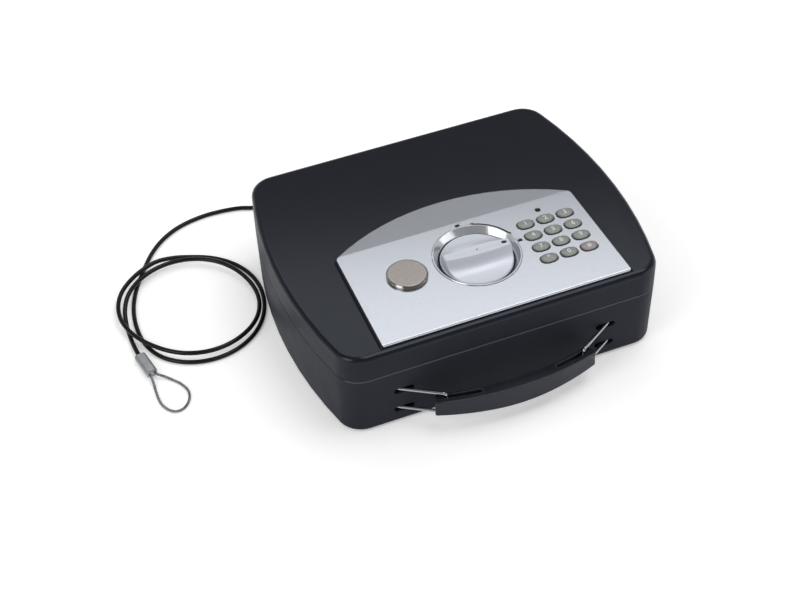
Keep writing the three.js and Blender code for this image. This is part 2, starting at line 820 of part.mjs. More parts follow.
// Lid
function lidShell() {
  const innerRoot = wall + slidingGap;
  const tongueInside = innerRoot + tongueThickness;
  const rootTopZ = lidRimZ + tongueRootRise + tongueThickness;
  const shell = loft([
    ...filletRings(wall, lidCeilingZ, innerFillet, -1, true),
    { points: boxOutline(wall), z: rootTopZ },
    { points: boxOutline(tongueInside), z: lidRimZ + tongueRootRise },
    { points: boxOutline(tongueInside), z: lidRimZ - tongueDepth },
    { points: boxOutline(innerRoot), z: lidRimZ - tongueDepth },
    { points: boxOutline(innerRoot), z: lidRimZ },
    { points: boxOutline(0), z: lidRimZ },
    ...filletRings(0, lidTopZ, lidFillet, -1, true).reverse(),
  ]);
  const seat = common(
    loft([
      { points: panelOutline(seatBevel, 0, seatFrontCorner), z: lidTopZ - lidTopThickness / 2 },
      { points: panelOutline(seatBevel, 0, seatFrontCorner), z: lidTopZ },
      { points: panelOutline(seatLip, 0, seatFrontCorner), z: panelTopZ },
    ]),
    panelSlab(seatLip, lidTopThickness + panelRise, panelFrontY, 0));
  const bosses = bossPlaces.map(([x, y]) =>
    cylinderZ(x, y, bossRadius, chassisTopZ + fitGap, lidCeilingZ + lidTopThickness / 2, 16));
  const pocket = common(
    extrudeZ(panelOutline(fitGap, throughCut, seatFrontCorner), lidCeilingZ, panelTopZ + throughCut),
    panelSlab(panelThickness + fitGap - 3 * panelThickness, 3 * panelThickness,
      panelFrontY - throughCut, 0));
  const window = keypadWindow();
  const tools = [
    pocket,
    cylinderZ(knobX, knobY, wellFlangeRadius + fitGap,
      seatFloorZ - wellFlangeThickness - fitGap, panelTopZ, roundSteps),
    cylinderZ(knobX, knobY, wellThroatRadius + wellWallThickness + 2 * fitGap + wellWallThickness,
      lidCeilingZ - throughCut, panelTopZ, roundSteps),
    cylinderZ(overrideX, overrideY, overrideBodyRadius + fitGap,
      lidCeilingZ - throughCut, panelTopZ, 32),
    cylinderZ(ledX, ledY, ledRadius + fitGap, lidCeilingZ - throughCut, panelTopZ, 16),
    block(window.left, window.right, window.front, window.back, lidCeilingZ - throughCut, panelTopZ),
  ];
  for (const side of [-1, 1]) {
    tools.push(...hingeNotches(side));
  }
  return cut(join(shell, seat, ...bosses), ...tools);
}

// Room for the hinge webs in the lid's rim, and for the base leaf behind the tongue
function hingeNotches(side) {
  const centerX = side * hingeX;
  const plateFrontY = backInnerY - fitGap - leafThickness;
  const rootTopZ = lidRimZ + tongueRootRise + tongueThickness;
  const half = hingeWidth / 2 + fitGap;
  return [
    block(centerX - half, centerX + half, plateFrontY - slidingGap - throughCut, backInnerY,
      lidRimZ - tongueDepth - throughCut, rootTopZ + throughCut),
    block(centerX - half, centerX + half, backInnerY - throughCut, halfDepth + throughCut,
      lidRimZ - throughCut, webAbove + leafThickness + fitGap),
  ];
}

function keypadWindow() {
  const halfX = keyPitchX + keyLength / 2 + keypadWindowMargin;
  const halfY = 1.5 * keyPitchY + keyWidth / 2 + keypadWindowMargin;
  return {
    left: keypadX - halfX,
    right: keypadX + halfX,
    front: keypadY - halfY,
    back: keypadY + halfY,
  };
}

// An oval that is a little fuller than an ellipse
function ovalOutline(x, y, length, width) {
  const fuller = (value) => Math.sign(value) * Math.abs(value) ** (2 / keyFullness);
  return Array.from({ length: keySteps }, (_, i) => {
    const angle = 2 * Math.PI * (i + 0.5) / keySteps;
    return [x + length / 2 * fuller(Math.cos(angle)), y + width / 2 * fuller(Math.sin(angle))];
  });
}

const keyNames = [
  ['key_1', 'key_2', 'key_3'],
  ['key_4', 'key_5', 'key_6'],
  ['key_7', 'key_8', 'key_9'],
  ['key_star', 'key_0', 'key_hash'],
];

const keyPlaces = keyNames.flatMap((row, line) => row.map((name, column) => ({
  name,
  x: keypadX + (column - 1) * keyPitchX,
  y: keypadY + (1.5 - line) * keyPitchY,
})));

function key({ x, y }) {
  const flangeTop = panelUndersideZ - fitGap;
  const flangeBottom = flangeTop - keyFlangeThickness;
  const ring = (grow, z) => ({ points: ovalOutline(x, y, keyLength + grow, keyWidth + grow), z });
  return loft([
    ring(2 * keyFlangeGrow, flangeBottom),
    ring(2 * keyFlangeGrow, flangeTop),
    ring(0, flangeTop),
    ring(0, panelTopZ + 0.4 * keyRise),
    ring(-0.2 * keyWidth, panelTopZ + 0.8 * keyRise),
    ring(-0.55 * keyWidth, panelTopZ + keyRise),
  ]);
}

function controlPanel() {
  const plate = common(
    panelSlab(0, panelThickness, panelFrontY, panelEdgeRadius),
    extrudeZ(panelOutline(0, 0, seatFrontCorner), lidCeilingZ, panelTopZ + throughCut));
  const low = panelUndersideZ - throughCut;
  const high = panelTopZ + throughCut;
  const tools = [
    cylinderZ(knobX, knobY, wellMouthRadius + wellLip + fitGap, low, high, roundSteps),
    cylinderZ(overrideX, overrideY, capSpigotRadius + fitGap, low, high, 32),
    cylinderZ(ledX, ledY, ledRadius + fitGap, low, high, 16),
  ];
  for (const { x, y } of keyPlaces) {
    tools.push(extrudeZ(ovalOutline(x, y, keyLength + 2 * keyHoleGap, keyWidth + 2 * keyHoleGap), low, high));
  }
  return cut(plate, ...tools);
}

function knobWell() {
  const throatZ = panelTopZ - wellConeDepth;
  const lipTopZ = panelTopZ + wellLipRise;
  const mouthOuter = wellMouthRadius + wellLip;
  const flangeTop = panelUndersideZ - fitGap;
  const flangeBottom = flangeTop - wellFlangeThickness;
  const barrel = wellThroatRadius + 2 * wellWallThickness;
  const bore = spindleRadius + slidingGap;
  return revolveZ([
    [bore, wellBottomZ],
    [barrel, wellBottomZ],
    [barrel, flangeBottom],
    [wellFlangeRadius, flangeBottom],
    [wellFlangeRadius, flangeTop],
    [mouthOuter, flangeTop],
    [mouthOuter, lipTopZ - wellLip / 3],
    [mouthOuter - wellLip / 3, lipTopZ],
    [wellMouthRadius, lipTopZ],
    [wellThroatRadius, throatZ],
    [wellThroatRadius, wellFloorZ],
    [bore, wellFloorZ],
    [bore, wellBottomZ],
  ], knobX, knobY);
}

// Knob: a round plate with a straight grip, widest in its middle, between two hollowed flanks
function lockKnob() {
  const faceZ = panelTopZ - knobRecess;
  const bottomZ = faceZ - knobRimThickness;
  const gripTopZ = faceZ + gripHeight;
  const reach = knobRadius + throughCut;
  const flankHeight = gripHeight - gripEdge;
  const flankRadius = (gripSpread ** 2 + flankHeight ** 2) / (2 * flankHeight);
  const steepest = Math.asin(gripSpread / flankRadius);
  const flank = Array.from({ length: gripSteps + 1 }, (_, i) => {
    const angle = steepest * i / gripSteps;
    return [gripSpread - flankRadius * Math.sin(angle), faceZ + flankRadius * (1 - Math.cos(angle))];
  });
  const stations = Array.from({ length: gripStations + 1 }, (_, i) => {
    const along = reach * (2 * i / gripStations - 1);
    const narrowing = (gripTopWidth - gripEndWidth) / 2 * (along / knobRadius) ** 2;
    const half = gripTopWidth / 2 - narrowing;
    const right = [
      [reach, bottomZ],
      [reach, faceZ],
      ...flank.map(([out, z]) => [half + out, z]),
      [half - gripEdge, gripTopZ],
    ];
    const left = right.map(([y, z]) => [-y, z]).reverse();
    return { points: [...right, ...left], z: along };
  });
  const lengthwise = new THREE.Matrix4().makeBasis(
    new THREE.Vector3(0, 1, 0), new THREE.Vector3(0, 0, 1), new THREE.Vector3(1, 0, 0));
  const bar = clean(loft(stations).applyMatrix4(lengthwise));
  const body = revolveZ([
    [0, bottomZ],
    [knobRadius - knobEdgeRadius, bottomZ],
    [knobRadius, bottomZ + knobEdgeRadius],
    [knobRadius, faceZ - knobEdgeRadius],
    [knobRadius - knobEdgeRadius, faceZ],
    [knobRadius - gripEndInset, gripTopZ - gripEdge],
    [knobRadius - gripEndInset - gripEdge, gripTopZ],
    [0, gripTopZ],
  ], 0, 0);
  const socket = spindleSquare / 2 + fitGap;
  const socketTop = spindleTopZ() + fitGap;
  const square = block(-socket, socket, -socket, socket, bottomZ - throughCut, socketTop);
  const turned = cut(common(body, bar), square).rotateZ(knobRestAngle);
  return turned.translate(knobX, knobY, 0);
}

function spindleTopZ() {
  return panelTopZ - knobRecess - knobRimThickness + spindleGripLength;
}

// Spiral slot: the radius grows evenly with the angle, so the bolts move evenly with the knob
function spiralSlot(startAngle) {
  const width = boltPinRadius + fitGap;
  const center = (t) => {
    const angle = startAngle - knobTurn * t;
    const radius = pinCircleRadius + spiralLead * knobTurn * t;
    const slope = new THREE.Vector2(
      spiralLead * Math.cos(angle) + radius * Math.sin(angle),
      spiralLead * Math.sin(angle) - radius * Math.cos(angle)).normalize();
    return { x: radius * Math.cos(angle), y: radius * Math.sin(angle), heading: slope.angle() };
  };
  const side = (offset) => Array.from({ length: spiralSteps + 1 }, (_, i) => {
    const { x, y, heading } = center(i / spiralSteps);
    return [x + width * Math.cos(heading + offset), y + width * Math.sin(heading + offset)];
  });
  const start = center(0);
  const end = center(1);
  const quarter = Math.PI / 2;
  return [
    ...side(-quarter),
    ...arcPoints(end.x, end.y, width, end.heading - quarter, end.heading + quarter, 6).slice(1, -1),
    ...side(quarter).reverse(),
    ...arcPoints(start.x, start.y, width, start.heading + quarter, start.heading + 3 * quarter, 6).slice(1, -1),
  ];
}

function camSpindle() {
  const journalBottomZ = chassisBottomZ;
  const shaft = revolveZ([
    [0, journalBottomZ],
    [journalRadius, journalBottomZ],
    [journalRadius, camBottomZ],
    [camRadius, camBottomZ],
    [camRadius, camTopZ],
    [spindleRadius, camTopZ],
    [spindleRadius, wellFloorZ + fitGap],
    [0, wellFloorZ + fitGap],
  ], 0, 0);
  const half = spindleSquare / 2;
  const grip = block(-half, half, -half, half, camTopZ, spindleTopZ()).rotateZ(knobRestAngle);
  const low = camBottomZ - throughCut;
  const high = camTopZ + throughCut;
  const notchY = camRadius - camNotchDepth;
  const disc = cut(shaft,
    extrudeZ(spiralSlot(0), low, high),
    extrudeZ(spiralSlot(Math.PI), low, high),
    block(-camNotchWidth / 2, camNotchWidth / 2, notchY, camRadius + throughCut, low, high));
  return join(disc, grip).translate(knobX, knobY, 0);
}

// Bolt: an L-shaped bar with a pin in the cam's slot and two guide slots
function bolt(side) {
  const pinX = knobX + side * pinCircleRadius;
  const tipX = strikeX - boltStandoff;
  const frontY = boltLineY - boltWidth / 2;
  const backY = boltLineY + boltWidth / 2;
  const armInner = side * pinX - boltArmWidth / 2;
  const armOuter = side * pinX + boltArmWidth / 2;
  const armTop = knobY + boltArmWidth / 2;
  const outline = [
    [armInner, frontY],
    [tipX - boltNose, frontY],
    [tipX, frontY + boltNose],
    [tipX, backY - boltNose],
    [tipX - boltNose, backY],
    [armOuter, backY],
    ...arcPoints(side * pinX, armTop - boltArmWidth / 2, boltArmWidth / 2, 0, Math.PI, 8),
  ].map(([x, y]) => [side * x, y]);
  const bar = extrudeZ(outline, boltBottomZ, boltTopZ);
  const slotRadius = boltStudRadius + fitGap;
  const slots = boltStudX.map((studX) => extrudeZ([
    ...arcPoints(studX, boltLineY, slotRadius, -Math.PI / 2, Math.PI / 2, 8),
    ...arcPoints(studX - boltTravel, boltLineY, slotRadius, Math.PI / 2, 3 * Math.PI / 2, 8),
  ].map(([x, y]) => [side * x, y]), boltBottomZ - throughCut, boltTopZ + throughCut));
  const pin = cylinderZ(pinX, knobY, boltPinRadius, boltTopZ - throughCut, camTopZ - fitGap, 20);
  return join(cut(bar, ...slots), pin);
}

function lockChassis() {
  const beam = [
    [-chassisBeamHalfLength, chassisBeamFrontY],
    [chassisBeamHalfLength, chassisBeamFrontY],
    [chassisBeamHalfLength, chassisBeamBackY],
    [chassisRightX, chassisBeamBackY],
    ...arcPoints(chassisRightX - chassisCornerRadius, chassisBackY - chassisCornerRadius,
      chassisCornerRadius, 0, Math.PI / 2, 3),
    ...arcPoints(chassisLeftX + chassisCornerRadius, chassisBackY - chassisCornerRadius,
      chassisCornerRadius, Math.PI / 2, Math.PI, 3),
    [chassisLeftX, chassisBeamBackY],
    [-chassisBeamHalfLength, chassisBeamBackY],
  ];
  const plate = extrudeZ(beam, chassisBottomZ, chassisTopZ);
  const bore = cylinderZ(knobX, knobY, journalRadius + fitGap,
    chassisBottomZ - throughCut, chassisTopZ + throughCut, 20);
  const studs = boltStudX.flatMap((x) => [-x, x]).map((x) =>
    cylinderZ(x, boltLineY, boltStudRadius, chassisTopZ - chassisThickness / 2, boltTopZ + fitGap, 12));
  return join(cut(plate, bore), ...studs);
}

// Solenoid group on the line from the cam's rim towards the override lock
const plungerTipX = knobX - camRadius - fitGap;
const collarLeftX = plungerTipX - plungerNose - plungerCollarLength;
const solenoidRightX = collarLeftX - springGapLength;
const solenoidLeftX = solenoidRightX - solenoidLength;
const yokeLeftX = overrideX - liftCamBase - fitGap;
const yokeRightX = solenoidLeftX - slidingGap - yokeBar;

function solenoidBody() {
  const bottomZ = chassisTopZ + fitGap;
  const halfY = solenoidWidth / 2;
  const frame = block(solenoidLeftX, solenoidRightX, knobY - halfY, knobY + halfY,
    bottomZ, bottomZ + solenoidHeight);
  const ledge = 1.4;
  const windingCut = [-1, 1].map((side) => block(
    solenoidLeftX + ledge, solenoidRightX - ledge,
    knobY + side * halfY - ledge, knobY + side * halfY + ledge,
    bottomZ + ledge, bottomZ + solenoidHeight - ledge));
  const bore = cylinderX(solenoidLeftX - throughCut, solenoidRightX + throughCut, knobY,
    plungerRadius + fitGap, plungerZ, 16);
  return cut(frame, ...windingCut, bore);
}

function solenoidPlunger() {
  const collarRightX = collarLeftX + plungerCollarLength;
  const rod = cylinderX(yokeRightX, plungerTipX, knobY, plungerRadius, plungerZ, 16);
  const collar = cylinderX(collarLeftX, collarRightX, knobY, plungerCollarRadius, plungerZ, 20);
  const low = plungerZ - yokeThickness / 2;
  const high = plungerZ + yokeThickness / 2;
  const frontY = overrideY - yokeWindowHalf;
  const backY = overrideY + yokeWindowHalf;
  const plate = block(yokeLeftX - yokeBar, yokeRightX + yokeBar, frontY - yokeBar, backY + yokeBar, low, high);
  const window = block(yokeLeftX, yokeRightX, frontY, backY, low - throughCut, high + throughCut);
  return join(cut(plate, window), rod, collar);
}

function solenoidSpring() {
  const startX = solenoidRightX + fitGap + springWire;
  const length = springGapLength - 2 * (fitGap + springWire);
  const count = springTurns * springStepsPerTurn;
  const points = Array.from({ length: count + 1 }, (_, i) => {
    const t = i / count;
    const angle = 2 * Math.PI * springTurns * t;
    return new THREE.Vector3(
      startX + length * t,
      knobY + springRadius * Math.cos(angle),
      plungerZ + springRadius * Math.sin(angle));
  });
  return sweep(points, springWire / 2, 5);
}

// Override lock: a fixed barrel and a plug whose involute cam pulls the plunger's yoke evenly
const overrideFlangeBottomZ = seatFloorZ + fitGap;
const overrideFlangeTopZ = overrideFlangeBottomZ + overrideFlangeThickness;
const overrideBodyBottomZ = overrideFlangeTopZ - overrideBodyLength;

function overrideLockBody() {
  const bore = plugRadius + fitGap;
  return revolveZ([
    [bore, overrideBodyBottomZ],
    [overrideBodyRadius, overrideBodyBottomZ],
    [overrideBodyRadius, overrideFlangeBottomZ],
    [overrideFlangeRadius, overrideFlangeBottomZ],
    [overrideFlangeRadius, overrideFlangeTopZ],
    [bore, overrideFlangeTopZ],
    [bore, overrideBodyBottomZ],
  ], overrideX, overrideY, 24);
}

// The cam's support distance grows evenly over a quarter turn: an involute of a circle
function liftCamOutline() {
  const lobe = Array.from({ length: liftCamSteps + 1 }, (_, i) => {
    const angle = Math.PI - plugTurn * i / liftCamSteps;
    const support = liftCamBase + liftCamLead * (Math.PI - angle);
    return [
      support * Math.cos(angle) + liftCamLead * Math.sin(angle),
      support * Math.sin(angle) - liftCamLead * Math.cos(angle),
    ];
  });
  return [...lobe, ...arcPoints(0, 0, plugTailRadius + fitGap, Math.PI / 4, -3 * Math.PI / 4, 8)];
}

function overridePlug() {
  const faceZ = overrideFlangeTopZ - fitGap;
  const shoulderZ = overrideBodyBottomZ - fitGap;
  const barrel = cylinderZ(0, 0, plugRadius, shoulderZ, faceZ, 24);
  const tail = cylinderZ(0, 0, plugTailRadius, camBottomZ - fitGap, shoulderZ + fitGap, 16);
  const cam = extrudeZ(liftCamOutline(), camBottomZ, camTopZ);
  const keyway = block(-keywayWidth / 2, keywayWidth / 2, -keywayHeight / 2, keywayHeight / 2,
    faceZ - keywayDepth, faceZ + throughCut);
  return cut(join(barrel, tail, cam), keyway).translate(overrideX, overrideY, 0);
}

function overrideCap() {
  const bottomZ = panelTopZ + fitGap;
  const topZ = bottomZ + capHeight;
  return revolveZ([
    [0, bottomZ - capSpigotDepth],
    [capSpigotRadius, bottomZ - capSpigotDepth],
    [capSpigotRadius, bottomZ],
    [capBaseRadius, bottomZ],
    [capBaseRadius, bottomZ + 0.5 * capHeight],
    [capTopRadius + 0.4, topZ - 0.3],
    [capTopRadius, topZ],
    [0, topZ],
  ], overrideX, overrideY, 32);
}

// Keypad inner pieces
function keypadMembrane() {
  const window = keypadWindow();
  const low = boardTopZ() + fitGap;
  return block(window.left + fitGap, window.right - fitGap, window.front + fitGap, window.back - fitGap,
    low, low + membraneThickness);
}

function boardTopZ() {
  return lidCeilingZ - fitGap;
}

function circuitBoard() {
  const window = keypadWindow();
  const plate = block(window.left - boardMargin, window.right + boardMargin,
    window.front - boardMargin, boardBackY, boardTopZ() - boardThickness, boardTopZ());
  const hole = 1.5;
  const inset = 3.4;
  const corners = [window.left - boardMargin + inset, window.right + boardMargin - inset].map((x) =>
    cylinderZ(x, boardBackY - inset, hole, boardTopZ() - boardThickness - 1, boardTopZ() + 1, 10));
  return cut(plate, ...corners);
}

function ledLens() {
  const low = boardTopZ() + fitGap;
  const top = panelTopZ + ledRise;
  return revolveZ([
    [0, low],
    [ledRadius, low],
    [ledRadius, top - ledRise],
    [0.7 * ledRadius, top - 0.3 * ledRise],
    [0, top],
  ], ledX, ledY, 16);
}

// Inner cover with the battery bay moulded in
const bayHalfWidth = (batteryCount - 1) / 2 * batteryPitch + batteryRadius + batterySideGap;
const bayRoofZ = lidCeilingZ - 2 * fitGap - bayWall;
const batteryZ = bayRoofZ - fitGap - batteryRadius;

function lidInnerCover() {
  const plate = extrudeZ(boxOutline(wall + slidingGap + tongueThickness + slidingGap),
    coverBottomZ, coverTopZ);
  const bay = block(-bayHalfWidth - bayWall, bayHalfWidth + bayWall,
    bayFrontY - bayWall, bayFrontY + bayLength + bayWall, coverBottomZ, bayRoofZ + bayWall);
  const hollow = block(-bayHalfWidth, bayHalfWidth, bayFrontY, bayFrontY + bayLength,
    coverBottomZ - throughCut, bayRoofZ);
  const windows = [-1, 1].map((side) => {
    const inner = side * (strikeX - strikeWindowMargin);
    const outer = side * (strikeX + strikeThickness + strikeWindowMargin);
    return block(Math.min(inner, outer), Math.max(inner, outer),
      boltLineY - strikeTabLength / 2 - 2 * strikeWindowGap,
      boltLineY + strikeTabLength / 2 + 2 * strikeWindowGap,
      coverBottomZ - throughCut, coverTopZ + throughCut);
  });
  const leafRoom = [-1, 1].map((side) => block(
    side * hingeX - hingeWidth / 2 - slidingGap, side * hingeX + hingeWidth / 2 + slidingGap,
    backInnerY - fitGap - leafThickness - 2 * slidingGap, halfDepth,
    coverBottomZ - throughCut, coverTopZ + throughCut));
  return cut(join(plate, bay), hollow, ...windows, ...leafRoom);
}

function batteryDoor() {
  const halfWidth = bayHalfWidth - fitGap;
  const frontY = bayFrontY + fitGap;
  const backY = bayFrontY + bayLength - fitGap;
  const plate = block(-halfWidth, halfWidth, frontY, backY, coverBottomZ, coverTopZ);
  const gripWidth = 9;
  const gripDepth = 0.8;
  const finger = block(-gripWidth, gripWidth, backY - gripWidth, backY - gripWidth / 3,
    coverBottomZ - throughCut, coverBottomZ + gripDepth);
  return cut(plate, finger);
}

function battery(index) {
  const x = (index - (batteryCount - 1) / 2) * batteryPitch;
  const startY = bayFrontY + (bayLength - batteryLength - batteryNubLength) / 2;
  const endY = startY + batteryLength;
  const profile = [
    [0, startY],
    [batteryRadius, startY],
    [batteryRadius, endY],
    [batteryNubRadius, endY],
    [batteryNubRadius, endY + batteryNubLength],
    [0, endY + batteryNubLength],
  ];
  const cell = revolveY(profile, x, batteryZ, smallRoundSteps);
  if (index % 2 === 0) return cell;
  const middleY = bayFrontY + bayLength / 2;
  return cell.translate(-x, -middleY, 0).rotateZ(Math.PI).translate(x, middleY, 0);
}

// Handle: a bowed strap with a crowned top and a slot near each end
const handleBottomZ = bailLowerZ + bailRadius + fitGap;

function handle() {
  const frontY = -halfDepth - handleReach;
  const bowY = frontY + handleBowRadius;
  const at = (x, depth) => {
    const radius = handleBowRadius - depth;
    const angle = x / handleBowRadius;
    return [radius * Math.sin(angle), bowY - radius * Math.cos(angle)];
  };
  const sagHalf = bailBarX - 2 * bailRadius;
  const section = (x, shrink) => {
    const sag = Math.abs(x) < sagHalf ? handleSag * (1 + Math.cos(Math.PI * x / sagHalf)) / 2 : 0;
    const low = handleBottomZ - sag + shrink;
    const high = handleBottomZ + handleEndHeight
      + handleCrown * (1 - (x / handleHalfLength) ** 2) - shrink;
    const back = handleThickness - shrink;
    const soft = handleEdge * (1 - Math.SQRT1_2);
    return [
      [back - handleEdge, low],
      [back - soft, low + soft],
      [back, low + handleEdge],
      [back, high - handleEdge],
      [back - soft, high - soft],
      [back - handleEdge, high],
      [shrink + handleEdge, high],
      [shrink + soft, high - soft],
      [shrink, high - handleEdge],
      [shrink + handleFrontHollow, (low + high) / 2],
      [shrink, low + handleEdge],
      [shrink + soft, low + soft],
      [shrink + handleEdge, low],
    ];
  };
  const inner = handleHalfLength - handleEdge;
  const stations = [
    { points: section(-handleHalfLength, handleEdge / 2), z: -handleHalfLength },
    ...Array.from({ length: handleSteps + 1 }, (_, i) => {
      const x = inner * (2 * i / handleSteps - 1);
      return { points: section(x, 0), z: x };
    }),
    { points: section(handleHalfLength, handleEdge / 2), z: handleHalfLength },
  ];
  const body = loft(stations);
  const place = body.getAttribute('position');
  for (let i = 0; i < place.count; i++) {
    const [x, y] = at(place.getZ(i), place.getX(i));
    place.setXYZ(i, x, y, place.getY(i));
  }
  const slotCenter = lugFrontWall + lugSlotWidth / 2;
  const slots = [-1, 1].map((side) => {
    const inner = lugSlotInnerX + lugSlotWidth / 2;
    const outer = lugSlotOuterX - lugSlotWidth / 2;
    const steps = 6;
    const track = (offset) => Array.from({ length: steps + 1 }, (_, i) =>
      at(side * (inner + (outer - inner) * i / steps), slotCenter + offset));
    const half = lugSlotWidth / 2;
    const cap = (x, direction) => Array.from({ length: 5 }, (_, i) => {
      const angle = Math.PI / 2 - Math.PI * (i + 1) / 6;
      return at(side * (x + direction * half * Math.cos(angle)), slotCenter - half * Math.sin(angle));
    });
    return extrudeZ([
      ...track(-half),
      ...cap(outer, 1),
      ...track(half).reverse(),
      ...cap(inner, -1).reverse(),
    ], handleBottomZ - handleSag - throughCut,
      handleBottomZ + handleEndHeight + handleCrown + throughCut);
  });
  return cut(clean(body), ...slots);
}

function bailBarY() {
  const slotDepth = lugFrontWall + lugSlotWidth / 2;
  const radius = handleBowRadius - slotDepth;
  const bowY = -halfDepth - handleReach + handleBowRadius;
  return bowY - Math.sqrt(radius ** 2 - bailBarX ** 2);
}

function bail(side) {
  const pivot = (z) => new THREE.Vector3(side * bailPivotX, bailPivotY, z);
  const bar = (z) => new THREE.Vector3(side * bailBarX, bailBarY(), z);
  const corners = [
    pivot(bailUpperZ + bailFootLength),
    pivot(bailUpperZ),
    bar(bailUpperZ),
    bar(bailLowerZ),
    pivot(bailLowerZ),
    pivot(bailLowerZ - bailFootLength),
  ];
  return sweep(roundedPath(corners, bailBend, 4), bailRadius, 8);
}

// Tether cable
const cableFloorZ = floorZ + cableRadius;

function cableGland() {
  const flangeY = halfDepth + fitGap;
  const noseY = flangeY + glandFlangeThickness;
  const endY = noseY + glandNoseLength;
  const nutY = backInnerY - fitGap;
  const bodyRadius = glandHoleRadius - fitGap;
  const bore = cableRadius + fitGap;
  return revolveY([
    [bore, nutY - glandNutThickness],
    [glandNutRadius, nutY - glandNutThickness],
    [glandNutRadius, nutY],
    [bodyRadius, nutY],
    [bodyRadius, flangeY],
    [glandFlangeRadius, flangeY],
    [glandFlangeRadius, noseY],
    [bodyRadius, noseY],
    [glandNoseRadius, endY],
    [bore, endY],
    [bore, nutY - glandNutThickness],
  ], cableExitX, cableExitZ, smallRoundSteps);
}

// The stretch that isn't coiled: out of the gland, down to the floor and round to the coil
const leadPoints = [
  [-62, 98.5, 14],
  [-62, 108, 14],
  [-62, 117, 14],
  [-62.8, 126, 12.2],
  [-66.5, 136, 8.2],
  [-74, 145.5, 4],
  [-83.5, 151.5, 1.7],
  [-94, 154.8, 0.85],
  [-104.7, 156.4, 0.76],
  [-114.6, 160.2, 0.76],
  [-124.9, 162.2, 0.76],
  [-133.6, 163, 0.76],
  [-142.5, 163.1, 0.76],
  [-150.9, 162.2, 0.76],
  [-160.3, 160.3, 0.76],
  [-169.3, 157.2, 0.76],
  [-178, 152.6, 0.76],
  [-185.9, 146.9, 0.76],
  [-192.7, 140.4, 0.76],
  [-198.4, 133.7, 0.76],
];

// The coil: an ellipse in plan whose size changes with the angle, as the laps lie in the hand-wound coil
const coilX = -184;
const coilY = 62;
const coilHalfX = 51.5;
const coilHalfY = 54.5;
const coilStartDegrees = 114;
const coilEndDegrees = 894;
const coilStepsPerTurn = 26;
const coilSides = 6;
const coilScales = [
  [108, 1.22], [122, 1.07], [138, 0.965], [156, 0.905], [178, 0.893],
  [200, 0.944], [222, 1.013], [246, 1.034], [300, 1.03], [345, 1.033],
  [385, 1.074], [425, 1.092], [458, 1.12], [482, 1.114], [508, 1.13],
  [532, 1.09], [554, 1.01], [576, 0.95], [606, 0.935], [650, 0.943],
  [690, 0.968], [738, 0.933], [780, 0.964], [830, 0.993], [872, 1.022],
  [900, 1.022],
];
const coilRise = 2 * cableRadius + 0.62;
const coilRaised = [430, 470, 862, 896];
const coilTail = [
  [-237.23, 58.2, 0.76],
  [-237.5, 53.4, 0.82],
  [-237.65, 48.4, 1.1],
  [-237.68, 43.2, 1.6],
  [-237.55, 38, 2.05],
  [-237.27, 33.41, 2.2],
  [-236.67, 29.76, 2.2],
];

// A smooth curve through the table's values
function throughTable(table, x) {
  const count = table.length;
  const passed = table.filter(([key]) => key <= x).length;
  const at = Math.min(Math.max(passed - 1, 0), count - 2);
  const slope = (i) => {
    const [before, after] = [Math.max(i - 1, 0), Math.min(i + 1, count - 1)];
    return (table[after][1] - table[before][1]) / (table[after][0] - table[before][0]);
  };
  const width = table[at + 1][0] - table[at][0];
  const t = (x - table[at][0]) / width;
  return (1 + 2 * t) * (1 - t) ** 2 * table[at][1] + t * (1 - t) ** 2 * width * slope(at)
    + t ** 2 * (3 - 2 * t) * table[at + 1][1] + t ** 2 * (t - 1) * width * slope(at + 1);
}

function coilPoint(degrees) {
  const angle = THREE.MathUtils.degToRad(degrees);
  const scale = throughTable(coilScales, degrees);
  const [start, full, ease, end] = coilRaised;
  const raised = THREE.MathUtils.smoothstep(degrees, start, full)
    * (1 - THREE.MathUtils.smoothstep(degrees, ease, end));
  return new THREE.Vector3(
    coilX + coilHalfX * scale * Math.cos(angle),
    coilY + coilHalfY * scale * Math.sin(angle),
    cableFloorZ + coilRise * raised);
}

function coilPath() {
  const count = Math.round((coilEndDegrees - coilStartDegrees) / 360 * coilStepsPerTurn);
  const points = Array.from({ length: count + 1 }, (_, i) =>
    coilPoint(coilStartDegrees + (coilEndDegrees - coilStartDegrees) * i / count));
  const start = new THREE.Vector3().subVectors(points[0], points[1]).normalize();
  points.unshift(points[0].clone().addScaledVector(start, 2 * cableRadius));
  return [...points, ...coilTail.map((p) => new THREE.Vector3(...p))];
}

// The least free gap between strands of one path that are not next to each other
function leastGap(points, radius) {
  const fine = new THREE.CatmullRomCurve3(points).getSpacedPoints(points.length * 8);
  let least = Infinity;
  for (let i = 0; i < fine.length; i++) {
    for (let j = i + 1; j < fine.length; j++) {
      if ((j - i) * fine[0].distanceTo(fine[1]) < 12 * radius) continue;
      least = Math.min(least, fine[i].distanceTo(fine[j]) - 2 * radius);
    }
  }
  return least;
}

function cableLead(coil) {
  const joint = coil[0];
  const along = new THREE.Vector3().subVectors(coil[1], coil[0]).normalize();
  const end = joint.clone().addScaledVector(along, -fitGap);
  const approach = end.clone().addScaledVector(along, -2 * cableRadius);
  const points = [...leadPoints.map((p) => new THREE.Vector3(...p)), approach, end];
  const path = new THREE.CatmullRomCurve3(points, false, 'centripetal');
  const section = new THREE.Shape(arcPoints(0, 0, cableRadius, 0, 2 * Math.PI, 8).slice(0, -1)
    .map(([x, y]) => new THREE.Vector2(x, y)));
  return clean(new THREE.ExtrudeGeometry(section, { steps: 44, bevelEnabled: false, extrudePath: path }));
}

